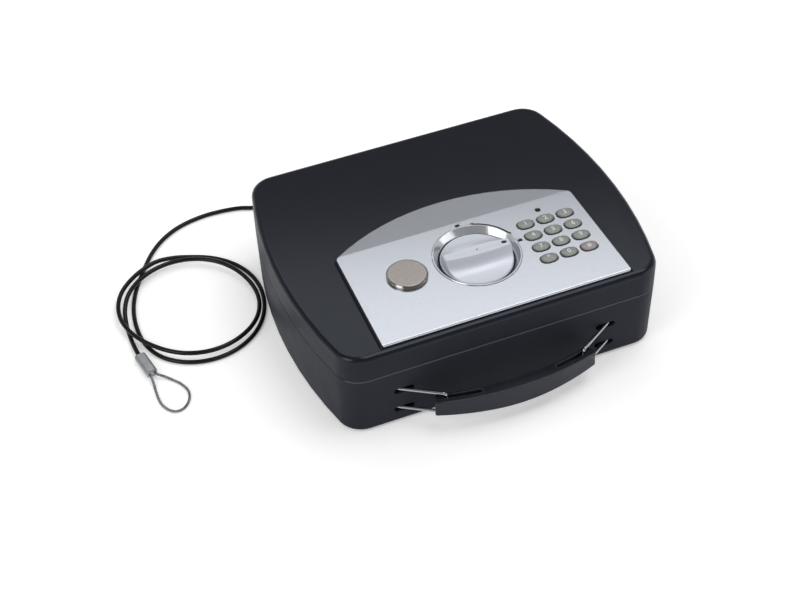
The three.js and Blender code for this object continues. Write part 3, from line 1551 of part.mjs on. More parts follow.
function cableFerrule(coil) {
  const last = coil[coil.length - 1];
  const along = new THREE.Vector3().subVectors(last, coil[coil.length - 2]).setZ(0).normalize();
  const outline = (shrink) => {
    const x = ferruleWidth / 2 - shrink;
    const y = ferruleHeight / 2 - shrink;
    const c = ferruleChamfer;
    return [[x, c - y], [x, y - c], [x - c, y], [c - x, y], [-x, y - c], [-x, c - y], [c - x, -y], [x - c, -y]];
  };
  const sleeve = loft([
    { points: outline(ferruleEndRound), z: 0 },
    { points: outline(0), z: ferruleEndRound },
    { points: outline(0), z: ferruleLength - ferruleEndRound },
    { points: outline(ferruleEndRound), z: ferruleLength },
  ]);
  const across = new THREE.Vector3().crossVectors(new THREE.Vector3(0, 0, 1), along);
  const basis = new THREE.Matrix4().makeBasis(across, new THREE.Vector3(0, 0, 1), along);
  const start = last.clone().addScaledVector(along, fitGap);
  return clean(sleeve.applyMatrix4(basis).translate(start.x, start.y, start.z));
}

// The bare rope eye lies on the floor in a long drop shape
function cableEye(coil) {
  const last = coil[coil.length - 1];
  const along = new THREE.Vector3().subVectors(last, coil[coil.length - 2]).setZ(0).normalize();
  const across = new THREE.Vector3().crossVectors(new THREE.Vector3(0, 0, 1), along);
  const mouth = last.clone().addScaledVector(along, ferruleLength + 2 * fitGap);
  const spread = ferruleWidth / 4;
  const ropeZ = floorZ + eyeRopeRadius;
  const place = ([sideways, forward, height]) => mouth.clone()
    .addScaledVector(across, sideways)
    .addScaledVector(along, forward)
    .setZ(ropeZ + (mouth.z - ropeZ) * height);
  const points = [
    [-spread, 0, 1],
    [-spread - 0.1, 2.5, 1],
    [-spread - 0.9, 7.5, 0.5],
    [-4.6, 14, 0],
    [-6.2, 21.5, 0],
    [-6.8, 29, 0],
    [-4.9, 36.3, 0],
    [-1.2, 40.6, 0],
    [4, 41.2, 0],
    [9, 38.6, 0],
    [13, 34, 0],
    [15.2, 28.5, 0],
    [15.2, 23, 0],
    [13.4, 16.6, 0],
    [10.4, 10.8, 0],
    [7, 6, 0.4],
    [spread + 1.3, 2.6, 1],
    [spread, 0, 1],
  ].map(place);
  const path = new THREE.CatmullRomCurve3(points, false, 'centripetal').getSpacedPoints(36);
  return sweep(path, eyeRopeRadius, 6);
}

// Assembly
const safe = new THREE.Group();

function add(group, name, geometry, finish) {
  const mesh = new THREE.Mesh(geometry, finishes[finish]);
  mesh.name = name;
  group.add(mesh);
}

const sides = [['left', -1], ['right', 1]];
const baseGroup = new THREE.Group();
add(baseGroup, 'base_shell', baseShell(), 'blackShell');
add(baseGroup, 'floor_pad', floorPad(), 'foam');
for (const [name, side] of sides) {
  add(baseGroup, `bail_bracket_${name}`, bailBracket(side), 'darkSteel');
  add(baseGroup, `strike_${name}`, strike(side), 'steel');
  add(baseGroup, `hinge_base_leaf_${name}`, hingeBaseLeaf(side), 'darkSteel');
  add(baseGroup, `hinge_pin_${name}`, hingePin(side), 'steel');
  add(baseGroup, `foot_front_${name}`, foot(side * footX, -footY), 'rubber');
  add(baseGroup, `foot_back_${name}`, foot(side * footX, footY), 'rubber');
}

const coil = coilPath();
console.log('least gap of the coil to itself, mm:', leastGap(coil, cableRadius).toFixed(2));
add(baseGroup, 'cable_gland', cableGland(), 'rubber');
add(baseGroup, 'cable_lead', cableLead(coil), 'rubber');
add(baseGroup, 'cable_coil', sweep(coil, cableRadius, coilSides), 'rubber');
add(baseGroup, 'cable_ferrule', cableFerrule(coil), 'steel');
add(baseGroup, 'cable_eye', cableEye(coil), 'steel');

const lidGroup = new THREE.Group();
add(lidGroup, 'lid_shell', lidShell(), 'blackShell');
add(lidGroup, 'control_panel', controlPanel(), 'silverPanel');
add(lidGroup, 'knob_well', knobWell(), 'brightRing');
add(lidGroup, 'lid_inner_cover', lidInnerCover(), 'blackShell');
for (let index = 0; index < batteryCount; index++) {
  add(lidGroup, `battery_${index + 1}`, battery(index), 'cell');
}
add(lidGroup, 'keypad_membrane', keypadMembrane(), 'membrane');
add(lidGroup, 'circuit_board', circuitBoard(), 'board');
add(lidGroup, 'led_lens', ledLens(), 'lens');
add(lidGroup, 'lock_chassis', lockChassis(), 'steel');
add(lidGroup, 'solenoid_body', solenoidBody(), 'darkSteel');
add(lidGroup, 'override_lock_body', overrideLockBody(), 'brass');
for (const [name, side] of sides) {
  add(lidGroup, `hinge_lid_leaf_${name}`, hingeLidLeaf(side), 'darkSteel');
}

const movingGroup = new THREE.Group();
add(movingGroup, 'lock_knob', lockKnob(), 'silverPanel');
add(movingGroup, 'cam_spindle', camSpindle(), 'steel');
add(movingGroup, 'bolt_left', bolt(-1), 'steel');
add(movingGroup, 'bolt_right', bolt(1), 'steel');
add(movingGroup, 'solenoid_plunger', solenoidPlunger(), 'steel');
add(movingGroup, 'solenoid_spring', solenoidSpring(), 'steel');
add(movingGroup, 'override_plug', overridePlug(), 'brass');
add(movingGroup, 'override_cap', overrideCap(), 'capGrey');
add(movingGroup, 'battery_door', batteryDoor(), 'blackShell');
for (const place of keyPlaces) {
  add(movingGroup, place.name, key(place), 'keyGrey');
}
add(movingGroup, 'handle', handle(), 'blackHandle');
add(movingGroup, 'bail_left', bail(-1), 'steel');
add(movingGroup, 'bail_right', bail(1), 'steel');

safe.add(baseGroup, lidGroup, movingGroup);
export default safe;
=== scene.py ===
import bpy
import bmesh
import math
from mathutils import Matrix, Vector, noise


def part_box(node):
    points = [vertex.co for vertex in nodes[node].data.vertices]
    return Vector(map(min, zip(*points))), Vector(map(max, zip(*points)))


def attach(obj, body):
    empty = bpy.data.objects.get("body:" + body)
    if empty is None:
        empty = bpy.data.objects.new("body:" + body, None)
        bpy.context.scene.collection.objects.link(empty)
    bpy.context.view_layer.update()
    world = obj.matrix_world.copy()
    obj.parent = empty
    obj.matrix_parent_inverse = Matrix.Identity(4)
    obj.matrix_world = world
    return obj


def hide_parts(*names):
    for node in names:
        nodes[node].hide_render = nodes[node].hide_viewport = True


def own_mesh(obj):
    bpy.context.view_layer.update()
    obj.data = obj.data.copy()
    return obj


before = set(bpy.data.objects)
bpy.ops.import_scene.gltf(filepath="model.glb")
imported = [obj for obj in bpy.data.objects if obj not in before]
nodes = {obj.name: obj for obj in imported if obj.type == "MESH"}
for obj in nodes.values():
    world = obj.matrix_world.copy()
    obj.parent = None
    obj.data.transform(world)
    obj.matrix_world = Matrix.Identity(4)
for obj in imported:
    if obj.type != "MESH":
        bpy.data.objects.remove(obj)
scene = bpy.context.scene
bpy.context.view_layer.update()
MM = 0.001


def point(x, y, z):
    # A place in mm, as the metres that Blender works in
    return Vector((x * MM, y * MM, z * MM))


# Camera at the photograph's viewing angle, fitted to the box, the panel, the keys and the knob

CAMERA_PLACE = point(-365.4, -850.3, 892.4)
CAMERA_YAW, CAMERA_PITCH, CAMERA_ROLL = 20.98, 44.12, -1.93
CAMERA_LENS, CAMERA_SENSOR = 75.22, 36


def make_camera():
    yaw, pitch, roll = (math.radians(a) for a in (CAMERA_YAW, CAMERA_PITCH, CAMERA_ROLL))
    forward = Vector((math.sin(yaw) * math.cos(pitch), math.cos(yaw) * math.cos(pitch), -math.sin(pitch)))
    level = Vector((math.cos(yaw), -math.sin(yaw), 0))
    up = level.cross(forward)
    right = level * math.cos(roll) + up * math.sin(roll)
    top = up * math.cos(roll) - level * math.sin(roll)
    data = bpy.data.cameras.new("photo_camera")
    data.lens = CAMERA_LENS
    data.sensor_width = CAMERA_SENSOR
    data.clip_start = 0.01
    data.clip_end = 50
    camera = bpy.data.objects.new("photo_camera", data)
    scene.collection.objects.link(camera)
    turn = Matrix((right, top, -forward)).transposed().to_4x4()
    camera.matrix_world = Matrix.Translation(CAMERA_PLACE) @ turn
    scene.camera = camera


make_camera()


# Colours and node trees

WHITE = (1, 1, 1, 1)
COOL = (0.76, 0.84, 1, 1)
PATCH_LOW, PATCH_HIGH = 0.3, 0.7
GRAIN_HEIGHT = 0.04 * MM
MIX_FIRST, MIX_SECOND, MIX_RESULT = 6, 7, 2


def linear(r, g, b):
    # A colour as it is seen, 0 to 255, in the linear values that shaders take
    def one(v):
        v /= 255
        return v / 12.92 if v <= 0.04045 else ((v + 0.055) / 1.055) ** 2.4
    return (one(r), one(g), one(b), 1)


class Tree:
    # What the materials and the world share

    def __init__(self, tree):
        self.tree = tree

    def add(self, kind, **settings):
        node = self.tree.nodes.new(kind)
        for name, value in settings.items():
            setattr(node, name, value)
        return node

    def put(self, target, value):
        # A node's output is linked, and a plain value is set
        if isinstance(value, bpy.types.NodeSocket):
            self.tree.links.new(value, target)
        else:
            target.default_value = value

    def join(self, operation, first, second):
        node = self.add("ShaderNodeMath", operation=operation)
        self.put(node.inputs[0], first)
        self.put(node.inputs[1], second)
        return node.outputs[0]


class Surface(Tree):
    # A material on the object's own coordinates

    def __init__(self, name):
        self.material = bpy.data.materials.new(name)
        self.material.use_nodes = True
        super().__init__(self.material.node_tree)
        self.shader = self.tree.nodes["Principled BSDF"]
        self.coords = self.add("ShaderNodeTexCoord").outputs["Object"]

    def shade(self, name, value):
        self.put(self.shader.inputs[name], value)

    def noise(self, scale, detail, stretch=(1, 1, 1)):
        mapping = self.add("ShaderNodeMapping")
        mapping.inputs["Scale"].default_value = stretch
        self.put(mapping.inputs["Vector"], self.coords)
        texture = self.add("ShaderNodeTexNoise")
        texture.inputs["Scale"].default_value = scale
        texture.inputs["Detail"].default_value = detail
        self.put(texture.inputs["Vector"], mapping.outputs["Vector"])
        return texture.outputs["Fac"]

    def ramp(self, value, low, high, start, end):
        node = self.add("ShaderNodeMapRange")
        node.inputs["From Min"].default_value = low
        node.inputs["From Max"].default_value = high
        node.inputs["To Min"].default_value = start
        node.inputs["To Max"].default_value = end
        self.put(node.inputs["Value"], value)
        return node.outputs["Result"]

    def patches(self, scale, detail, start, end, stretch=(1, 1, 1)):
        # Soft blotches between two values
        return self.ramp(self.noise(scale, detail, stretch), PATCH_LOW, PATCH_HIGH, start, end)

    def mix(self, factor, first, second):
        node = self.add("ShaderNodeMix", data_type="RGBA")
        self.put(node.inputs["Factor"], factor)
        self.put(node.inputs[MIX_FIRST], first)
        self.put(node.inputs[MIX_SECOND], second)
        return node.outputs[MIX_RESULT]

    def along(self, axis):
        split = self.add("ShaderNodeSeparateXYZ")
        self.put(split.inputs[0], self.coords)
        return split.outputs[axis]

    def bevel(self, radius):
        node = self.add("ShaderNodeBevel", samples=4)
        node.inputs["Radius"].default_value = radius * MM
        return node.outputs["Normal"]

    def relief(self, grain, strength, edge=0.0, stretch=(1, 1, 1)):
        # Fine grain, over edges that look rounded where edge gives them a radius in mm
        node = self.add("ShaderNodeBump")
        if edge:
            self.put(node.inputs["Normal"], self.bevel(edge))
        node.inputs["Strength"].default_value = strength
        node.inputs["Distance"].default_value = GRAIN_HEIGHT
        self.put(node.inputs["Height"], self.noise(grain, 2, stretch))
        self.shade("Normal", node.outputs["Normal"])


# Finishes. Colours are 0 to 255 as seen, and heights are mm

HIGHLIGHT_FADE_UP, HIGHLIGHT_FADE_BACK = 0.3, 1
EDGE_HIGHLIGHT_NONE, EDGE_HIGHLIGHT_FULL = 0.98, 0.85
ROUGHNESS_PATCH = 2.3
COAT_ROUGHNESS = 0.15
# The base's rim along the front, lighter as a painted highlight
BASE_RIM_HIGHLIGHT = {"colour": (90, 93, 104), "front": -99.5, "low": 50.5}
LID_WALL_Z, LID_TOP_Z = 68.5, 70.5
# Heights of the ring's throat, painted dark as shade, and of its bright cone
THROAT_SHADE_Z, CONE_Z = 71.4, 71.7
KEY_RIM_Z, KEY_CROWN_Z = 76.7, 77.6
CAP_X, CAP_Y, CAP_FACE_RADIUS, CAP_FADE = -50, -43.65, 13.1, 0.15


def finish(name, colour, rough, metal=0, vary=0.08, patch=60, grain=2500, depth=0.12, stretch=(1, 1, 1),
           rough_vary=0.05, coat=0, level=0.5, edge=0.0, rim_highlight=None, edge_highlight=None, tint=WHITE):
    n = Surface(name)
    base = linear(*colour)
    dark = tuple(v * (1 - vary) for v in base[:3]) + (1,)
    light = tuple(min(v * (1 + vary), 1) for v in base[:3]) + (1,)
    shade = n.mix(n.patches(patch, 4, 0, 1, stretch), dark, light)
    if rim_highlight:
        # Painted highlight: a rim made lighter along the front, where light catches the seam
        low, front = rim_highlight["low"], rim_highlight["front"]
        rise = n.ramp(n.along("Z"), low * MM, (low + HIGHLIGHT_FADE_UP) * MM, 0, 1)
        near = n.ramp(n.along("Y"), (front + HIGHLIGHT_FADE_BACK) * MM, front * MM, 0, 1)
        shade = n.mix(n.join("MULTIPLY", rise, near), shade, linear(*rim_highlight["colour"]))
    if edge_highlight:
        # Painted highlight: edges made lighter, found where the rounded normal leaves the flat one
        turn = n.add("ShaderNodeVectorMath", operation="DOT_PRODUCT")
        n.put(turn.inputs[0], n.bevel(edge))
        n.put(turn.inputs[1], n.add("ShaderNodeNewGeometry").outputs["Normal"])
        shade = n.mix(n.ramp(turn.outputs["Value"], EDGE_HIGHLIGHT_NONE, EDGE_HIGHLIGHT_FULL, 0, 1), shade, linear(*edge_highlight))
    n.shade("Base Color", shade)
    smoother, rougher = rough - rough_vary, rough + rough_vary
    n.shade("Roughness", n.patches(patch * ROUGHNESS_PATCH, 2, smoother, rougher, stretch))
    n.shade("Metallic", metal)
    n.shade("Specular IOR Level", level)
    n.shade("Specular Tint", tint)
    n.shade("Coat Weight", coat)
    n.shade("Coat Roughness", COAT_ROUGHNESS)
    if depth:
        n.relief(grain, depth, edge, stretch)
    return n.material


def key_finish(name, rim, crown):
    # Painted shade and light: the caps darken from the lit crown down to the shaded rim
    n = Surface(name)
    rise = n.ramp(n.along("Z"), KEY_RIM_Z * MM, KEY_CROWN_Z * MM, 0, 1)
    n.shade("Base Color", n.mix(rise, linear(*rim), linear(*crown)))
    n.shade("Roughness", n.patches(700, 3, 0.22, 0.34))
    n.shade("Coat Weight", 0.3)
    n.relief(1800, 0.08, 0.25)
    return n.material


def lid_finish():
    # Polished top, satin walls; the walls' lighter colour is painted light against the darker top
    n = Surface("black_plastic")
    rise = n.ramp(n.along("Z"), LID_WALL_Z * MM, LID_TOP_Z * MM, 0, 1)
    blotched = n.add("ShaderNodeVectorMath", operation="SCALE")
    n.put(blotched.inputs[0], n.mix(rise, linear(37, 39, 47), linear(20, 22, 29)))
    n.put(blotched.inputs["Scale"], n.patches(30, 4, 0.92, 1.08))
    n.shade("Base Color", blotched.outputs[0])
    n.shade("Roughness", n.ramp(rise, 0, 1, 0.45, 0.21))
    n.shade("Specular IOR Level", n.ramp(rise, 0, 1, 0.12, 0.4))
    n.shade("Specular Tint", COOL)
    n.relief(2600, 0.12, 0.5)
    return n.material


def ring_finish():
    # Bright turned cone above a throat painted dark as shade
    n = Surface("bright_ring")
    rise = n.ramp(n.along("Z"), THROAT_SHADE_Z * MM, CONE_Z * MM, 0, 1)
    n.shade("Base Color", n.mix(rise, linear(26, 27, 30), linear(214, 217, 221)))
    n.shade("Roughness", n.patches(500, 2, 0.14, 0.2))
    n.shade("Metallic", 1)
    n.relief(4000, 0.03, 0.2)
    return n.material


def cap_finish():
    # Satin face inside a polished rim
    n = Surface("cap_metal")
    place = n.add("ShaderNodeVectorMath", operation="MULTIPLY_ADD")
    n.put(place.inputs[0], n.coords)
    n.put(place.inputs[1], (1, 1, 0))
    n.put(place.inputs[2], (-CAP_X * MM, -CAP_Y * MM, 0))
    reach = n.add("ShaderNodeVectorMath", operation="LENGTH")
    n.put(reach.inputs[0], place.outputs[0])
    inner, outer = (CAP_FACE_RADIUS - CAP_FADE) * MM, (CAP_FACE_RADIUS + CAP_FADE) * MM
    rim = n.ramp(reach.outputs["Value"], inner, outer, 0, 1)
    face = n.mix(n.patches(500, 3, 0, 1), linear(164, 157, 153), linear(171, 165, 162))
    n.shade("Base Color", n.mix(rim, face, linear(156, 152, 147)))
    n.shade("Roughness", n.ramp(rim, 0, 1, 0.42, 0.16))
    n.shade("Metallic", n.ramp(rim, 0, 1, 0.35, 1))
    n.relief(6000, 0.1, 0.3)
    return n.material


black_plastic = lid_finish()
base_plastic = finish("base_plastic", (38, 40, 48), 0.5, patch=30, grain=2600, level=0.12, rough_vary=0.02,
                      edge=0.5, rim_highlight=BASE_RIM_HIGHLIGHT, tint=COOL)
# The handle's edges are lighter as a painted highlight
handle_plastic = finish("handle_plastic", (27, 29, 36), 0.4, patch=70, grain=2400, depth=0.25, level=0.34,
                        edge=0.8, edge_highlight=(112, 115, 124), tint=COOL)
cover_plastic = finish("cover_plastic", (38, 39, 44), 0.5, grain=1800, depth=0.35, edge=0.4)
silver_paint = finish("silver_paint", (208, 212, 220), 0.25, metal=0.9, vary=0.015, patch=300, grain=5200,
                      depth=0.08, rough_vary=0.02, edge=0.4)
knob_silver = finish("knob_silver", (212, 216, 225), 0.4, metal=0.4, vary=0.04, patch=260, grain=900,
                     depth=0.04, stretch=(0.06, 1, 1), rough_vary=0.04, edge=0.35)
bright_ring = ring_finish()
cap_metal = cap_finish()
steel_wire = finish("steel_wire", (172, 174, 178), 0.16, metal=1, vary=0.03, patch=160, grain=3000,
                    depth=0.04)
rope_steel = finish("rope_steel", (146, 147, 149), 0.24, metal=1, vary=0.25, patch=400, grain=3000,
                    depth=0.1)
brushed_steel = finish("brushed_steel", (176, 178, 182), 0.34, metal=1, vary=0.05, patch=300, grain=900,
                       stretch=(0.05, 1, 1), edge=0.3)
dark_steel = finish("dark_steel", (108, 110, 115), 0.42, metal=0.9, patch=120, grain=1500, edge=0.3)
brass = finish("brass", (190, 156, 86), 0.3, metal=1, vary=0.05, patch=200, grain=1500, depth=0.08, edge=0.3)
rubber = finish("rubber", (22, 23, 25), 0.65, vary=0.1, patch=200, grain=3000, depth=0.3, edge=0.4)
vinyl = finish("vinyl", (10, 11, 13), 0.22, vary=0.12, patch=90, grain=900, depth=0.1, level=0.3)
cast_sleeve = finish("cast_sleeve", (166, 168, 171), 0.32, metal=0.9, vary=0.14, patch=260, grain=700,
                     depth=0.5, edge=0.5)
membrane_rubber = finish("membrane_rubber", (128, 132, 138), 0.7, vary=0.06, patch=160)
board_green = finish("board_green", (31, 92, 59), 0.4, vary=0.12, patch=260, grain=900, depth=0.1)
lens_black = finish("lens_black", (10, 10, 12), 0.35, vary=0.1, patch=300, depth=0, level=0.3)
cell_sleeve = finish("cell_sleeve", (44, 79, 124), 0.3, patch=90, grain=1500, depth=0.05, coat=0.3)
# Key colours: the dark rim is painted shade, the light crown painted light
key_plastic = key_finish("key_plastic", (46, 48, 50), (138, 142, 136))
key_pink = key_finish("key_pink", (58, 52, 54), (150, 140, 140))
digit_white = finish("digit_white", (212, 214, 212), 0.4, vary=0.02, patch=400, depth=0)
print_black = finish("print_black", (16, 17, 19), 0.5, vary=0.1, patch=400, depth=0)
print_grey = finish("print_grey", (128, 131, 136), 0.5, vary=0.05, patch=400, depth=0)
foam = finish("foam", (52, 53, 56), 0.95, vary=0.2, patch=700, grain=1400, depth=1)


# Objects and their shading

WELD_GAP = 1e-6


def link(o):
    scene.collection.objects.link(o)
    return o


def smooth(o, angle):
    # The frame's triangles share no corners, so they are joined first, for their normals only
    for face in o.data.polygons:
        face.use_smooth = True
    weld = o.modifiers.new("weld", "WELD")
    weld.merge_threshold = WELD_GAP
    split = o.modifiers.new("split", "EDGE_SPLIT")
    split.split_angle = math.radians(angle)
    split.use_edge_sharp = False
    o.modifiers.new("weigh", "WEIGHTED_NORMAL")


def dress(name, material, angle=40):
    o = nodes[name]
    o.data.materials.clear()
    o.data.materials.append(material)
    smooth(o, angle)


def mesh_piece(name, vertices, faces, material):
    data = bpy.data.meshes.new(name)
    data.from_pydata([tuple(v) for v in vertices], [], faces)
    data.update()
    data.materials.append(material)
    return link(bpy.data.objects.new(name, data))


def curve_piece(name, lines, radius, material, facets):
    data = bpy.data.curves.new(name, "CURVE")
    data.dimensions = "3D"
    data.bevel_depth = radius * MM
    data.bevel_resolution = facets
    data.use_fill_caps = True
    for line in lines:
        spline = data.splines.new("POLY")
        spline.points.add(len(line) - 1)
        for p, v in zip(spline.points, line):
            p.co = (v.x * MM, v.y * MM, v.z * MM, 1)
        spline.use_smooth = True
    data.materials.append(material)
    return link(bpy.data.objects.new(name, data))


# Tether cable, one curve along the route of the solids, in mm. Coil tables go by degrees round the coil

FLOOR = -1.0
CABLE_RADIUS = 1.75
LYING = 0.76
LEAD = [
    (-62, 98.5, 14), (-62, 108, 14), (-62, 117, 14), (-62.8, 126, 12.2), (-66.5, 136, 8.2), (-74, 145.5, 4),
    (-83.5, 151.5, 1.7), (-94, 154.8, 0.85), (-104.7, 156.4, LYING), (-114.6, 160.2, LYING),
    (-124.9, 162.2, LYING), (-133.6, 163, LYING), (-142.5, 163.1, LYING), (-150.9, 162.2, LYING),
    (-160.3, 160.3, LYING), (-169.3, 157.2, LYING), (-178, 152.6, LYING), (-185.9, 146.9, LYING),
    (-192.7, 140.4, LYING), (-198.4, 133.7, LYING),
]
COIL_X, COIL_Y, COIL_HALF_X, COIL_HALF_Y = -184, 62, 51.5, 54.5
COIL_START, COIL_END, COIL_STEPS = 114, 894, 56
COIL_SCALES = [
    (108, 1.22), (122, 1.07), (138, 0.965), (156, 0.905), (178, 0.893),
    (200, 0.944), (222, 1.013), (246, 1.034), (300, 1.03), (345, 1.033),
    (385, 1.074), (425, 1.092), (458, 1.12), (482, 1.114), (508, 1.13),
    (532, 1.09), (554, 1.01), (576, 0.95), (606, 0.935), (650, 0.943),
    (690, 0.968), (738, 0.933), (780, 0.964), (830, 0.993), (872, 1.022),
    (900, 1.022),
]
COIL_RISE = 2 * CABLE_RADIUS + 0.62
COIL_RAISED = (430, 470, 862, 896)
COIL_TAIL = [
    (-237.23, 58.2, LYING), (-237.5, 53.4, 0.82), (-237.65, 48.4, 1.1), (-237.68, 43.2, 1.6),
    (-237.55, 38, 2.05), (-237.27, 33.41, 2.2), (-236.67, 29.76, 2.2),
]
CABLE_SPLINE_STEPS, CABLE_FACETS = 6, 4


def smoothstep(x, low, high):
    t = min(max((x - low) / (high - low), 0), 1)
    return t * t * (3 - 2 * t)


def through_table(table, x):
    # A smooth curve through the table's values
    at = max(next(i for i, (key, _) in enumerate(table) if key > x), 1) - 1

    def slope(i):
        before, after = max(i - 1, 0), min(i + 1, len(table) - 1)
        return (table[after][1] - table[before][1]) / (table[after][0] - table[before][0])

    width = table[at + 1][0] - table[at][0]
    t = (x - table[at][0]) / width
    return ((1 + 2 * t) * (1 - t) ** 2 * table[at][1] + t * (1 - t) ** 2 * width * slope(at)
            + t ** 2 * (3 - 2 * t) * table[at + 1][1] + t ** 2 * (t - 1) * width * slope(at + 1))


def coil_point(degrees):
    scale = through_table(COIL_SCALES, degrees)
    start, full, ease, end = COIL_RAISED
    raised = smoothstep(degrees, start, full) * (1 - smoothstep(degrees, ease, end))
    angle = math.radians(degrees)
    return Vector((COIL_X + COIL_HALF_X * scale * math.cos(angle),
                   COIL_Y + COIL_HALF_Y * scale * math.sin(angle),
                   FLOOR + CABLE_RADIUS + COIL_RISE * raised))


def rounded_line(points, count):
    # A centripetal spline through the points, at even parameter steps
    points = [Vector(p) for p in points]
    ends = [points[0] * 2 - points[1]] + points + [points[-1] * 2 - points[-2]]
    line = []
    for i in range(len(points) - 1):
        p = ends[i:i + 4]
        t = [0]
        for a, b in zip(p, p[1:]):
            t.append(t[-1] + max((b - a).length, 1e-6) ** 0.5)
        for k in range(count):
            s = t[1] + (t[2] - t[1]) * k / count
            a = [p[j] * ((t[j + 1] - s) / (t[j + 1] - t[j])) + p[j + 1] * ((s - t[j]) / (t[j + 1] - t[j]))
                 for j in range(3)]
            b = [a[j] * ((t[j + 2] - s) / (t[j + 2] - t[j])) + a[j + 1] * ((s - t[j]) / (t[j + 2] - t[j]))
                 for j in range(2)]
            line.append(b[0] * ((t[2] - s) / (t[2] - t[1])) + b[1] * ((s - t[1]) / (t[2] - t[1])))
    return line + [points[-1]]


def make_cable():
    turn = COIL_END - COIL_START
    coil = [coil_point(COIL_START + turn * i / COIL_STEPS) for i in range(COIL_STEPS + 1)]
    start = coil[0] + (coil[0] - coil[1]).normalized() * 2 * CABLE_RADIUS
    line = rounded_line([*LEAD, start, *coil, *COIL_TAIL], CABLE_SPLINE_STEPS)
    cable = curve_piece("tether_cable", [line], CABLE_RADIUS, vinyl, CABLE_FACETS)
    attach(cable, "base")
    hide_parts("cable_lead", "cable_coil")
    length = sum((b - a).length for a, b in zip(line, line[1:])) * MM
    print("cable length, m:", round(length, 4))
    return cable, length


# The bare rope eye: six strands laid round a core, on a drop shape in mm sideways and forward of the
# ferrule's mouth. The third value goes from 1, at the mouth's height, to 0, on the floor

EYE = [
    (-2.15, 0, 1), (-2.25, 2.5, 1), (-3.05, 7.5, 0.5), (-4.6, 14, 0), (-6.2, 21.5, 0), (-6.8, 29, 0),
    (-4.9, 36.3, 0), (-1.2, 40.6, 0), (4, 41.2, 0), (9, 38.6, 0), (13, 34, 0), (15.2, 28.5, 0), (15.2, 23, 0),
    (13.4, 16.6, 0), (10.4, 10.8, 0), (7, 6, 0.4), (3.45, 2.6, 1), (2.15, 0, 1),
]
ROPE_RADIUS, STRAND_RADIUS, STRANDS, LAY_LENGTH = 1.05, 0.35, 6, 7
FERRULE_LENGTH, MOUTH_GAP = 21.9, 0.6
ROPE_SPLINE_STEPS, ROPE_FACETS = 24, 2


def eye_line():
    last, before = Vector(COIL_TAIL[-1]), Vector(COIL_TAIL[-2])
    along = last - before
    along.z = 0
    along.normalize()
    across = Vector((0, 0, 1)).cross(along)
    mouth = last + along * (FERRULE_LENGTH + MOUTH_GAP)
    rope_z = FLOOR + ROPE_RADIUS
    points = []
    for sideways, forward, height in EYE:
        p = mouth + across * sideways + along * forward
        p.z = rope_z + (mouth.z - rope_z) * height
        points.append(p)
    return rounded_line(points, ROPE_SPLINE_STEPS)


def make_eye():
    line = eye_line()
    lay_radius = ROPE_RADIUS - STRAND_RADIUS
    up = Vector((0, 0, 1))
    travelled = 0
    rails = [[] for _ in range(STRANDS)]
    for i, p in enumerate(line):
        tangent = (line[min(i + 1, len(line) - 1)] - line[max(i - 1, 0)]).normalized()
        side = tangent.cross(up).normalized()
        other = side.cross(tangent)
        travelled += (p - line[i - 1]).length if i else 0
        for k, rail in enumerate(rails):
            angle = 2 * math.pi * (k / STRANDS + travelled / LAY_LENGTH)
            rail.append(p + side * (lay_radius * math.cos(angle)) + other * (lay_radius * math.sin(angle)))
    eye = curve_piece("wire_eye", [*rails, line], STRAND_RADIUS, rope_steel, ROPE_FACETS)
    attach(eye, "base")
    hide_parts("cable_eye")
    return eye


cable, cable_length = make_cable()
eye = make_eye()
dress("cable_ferrule", cast_sleeve, 20)


# Materials of the parts that keep their shape

KEY_NAMES = ["key_1", "key_2", "key_3", "key_4", "key_5", "key_6", "key_7", "key_8", "key_9",
             "key_star", "key_0", "key_hash"]

dress("base_shell", base_plastic)
dress("lid_shell", black_plastic)
for name in ("lid_inner_cover", "battery_door"):
    dress(name, cover_plastic)
for name in ("bail_bracket_left", "bail_bracket_right", "hinge_base_leaf_left", "hinge_base_leaf_right",
             "hinge_lid_leaf_left", "hinge_lid_leaf_right", "solenoid_body"):
    dress(name, dark_steel)
for name in ("strike_left", "strike_right", "lock_chassis", "cam_spindle", "bolt_left", "bolt_right",
             "solenoid_plunger", "hinge_pin_left", "hinge_pin_right"):
    dress(name, brushed_steel)
for name in ("foot_front_left", "foot_front_right", "foot_back_left", "foot_back_right", "cable_gland"):
    dress(name, rubber)
for name in ("battery_1", "battery_2", "battery_3", "battery_4"):
    dress(name, cell_sleeve)
for name in ("override_lock_body", "override_plug"):
    dress(name, brass)
for name in ("bail_left", "bail_right"):
    dress(name, steel_wire, 50)
dress("control_panel", silver_paint, 15)
dress("knob_well", bright_ring, 32)
dress("lock_knob", knob_silver)
dress("override_cap", cap_metal)
dress("keypad_membrane", membrane_rubber)
dress("circuit_board", board_green)
dress("led_lens", lens_black)
dress("handle", handle_plastic)
for name in KEY_NAMES:
    dress(name, key_pink if name == "key_hash" else key_plastic)


# The plunger's spring, a copy with a mesh of its own; the real spring shortens towards its fixed end as the
# plunger is drawn in


def make_spring():
    spring = link(bpy.data.objects.new("plunger_spring", nodes["solenoid_spring"].data.copy()))
    spring.data.materials.clear()
    spring.data.materials.append(steel_wire)
    smooth(spring, 80)
    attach(spring, "lid")
    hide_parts("solenoid_spring")
    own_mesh(spring)


make_spring()


# Digits on the keys

DIGIT_SIZE, DIGIT_BOLDER, DIGIT_DEPTH = 5.6, 0.08, 0.04
SIGNS = {"key_star": "*", "key_hash": "#"}


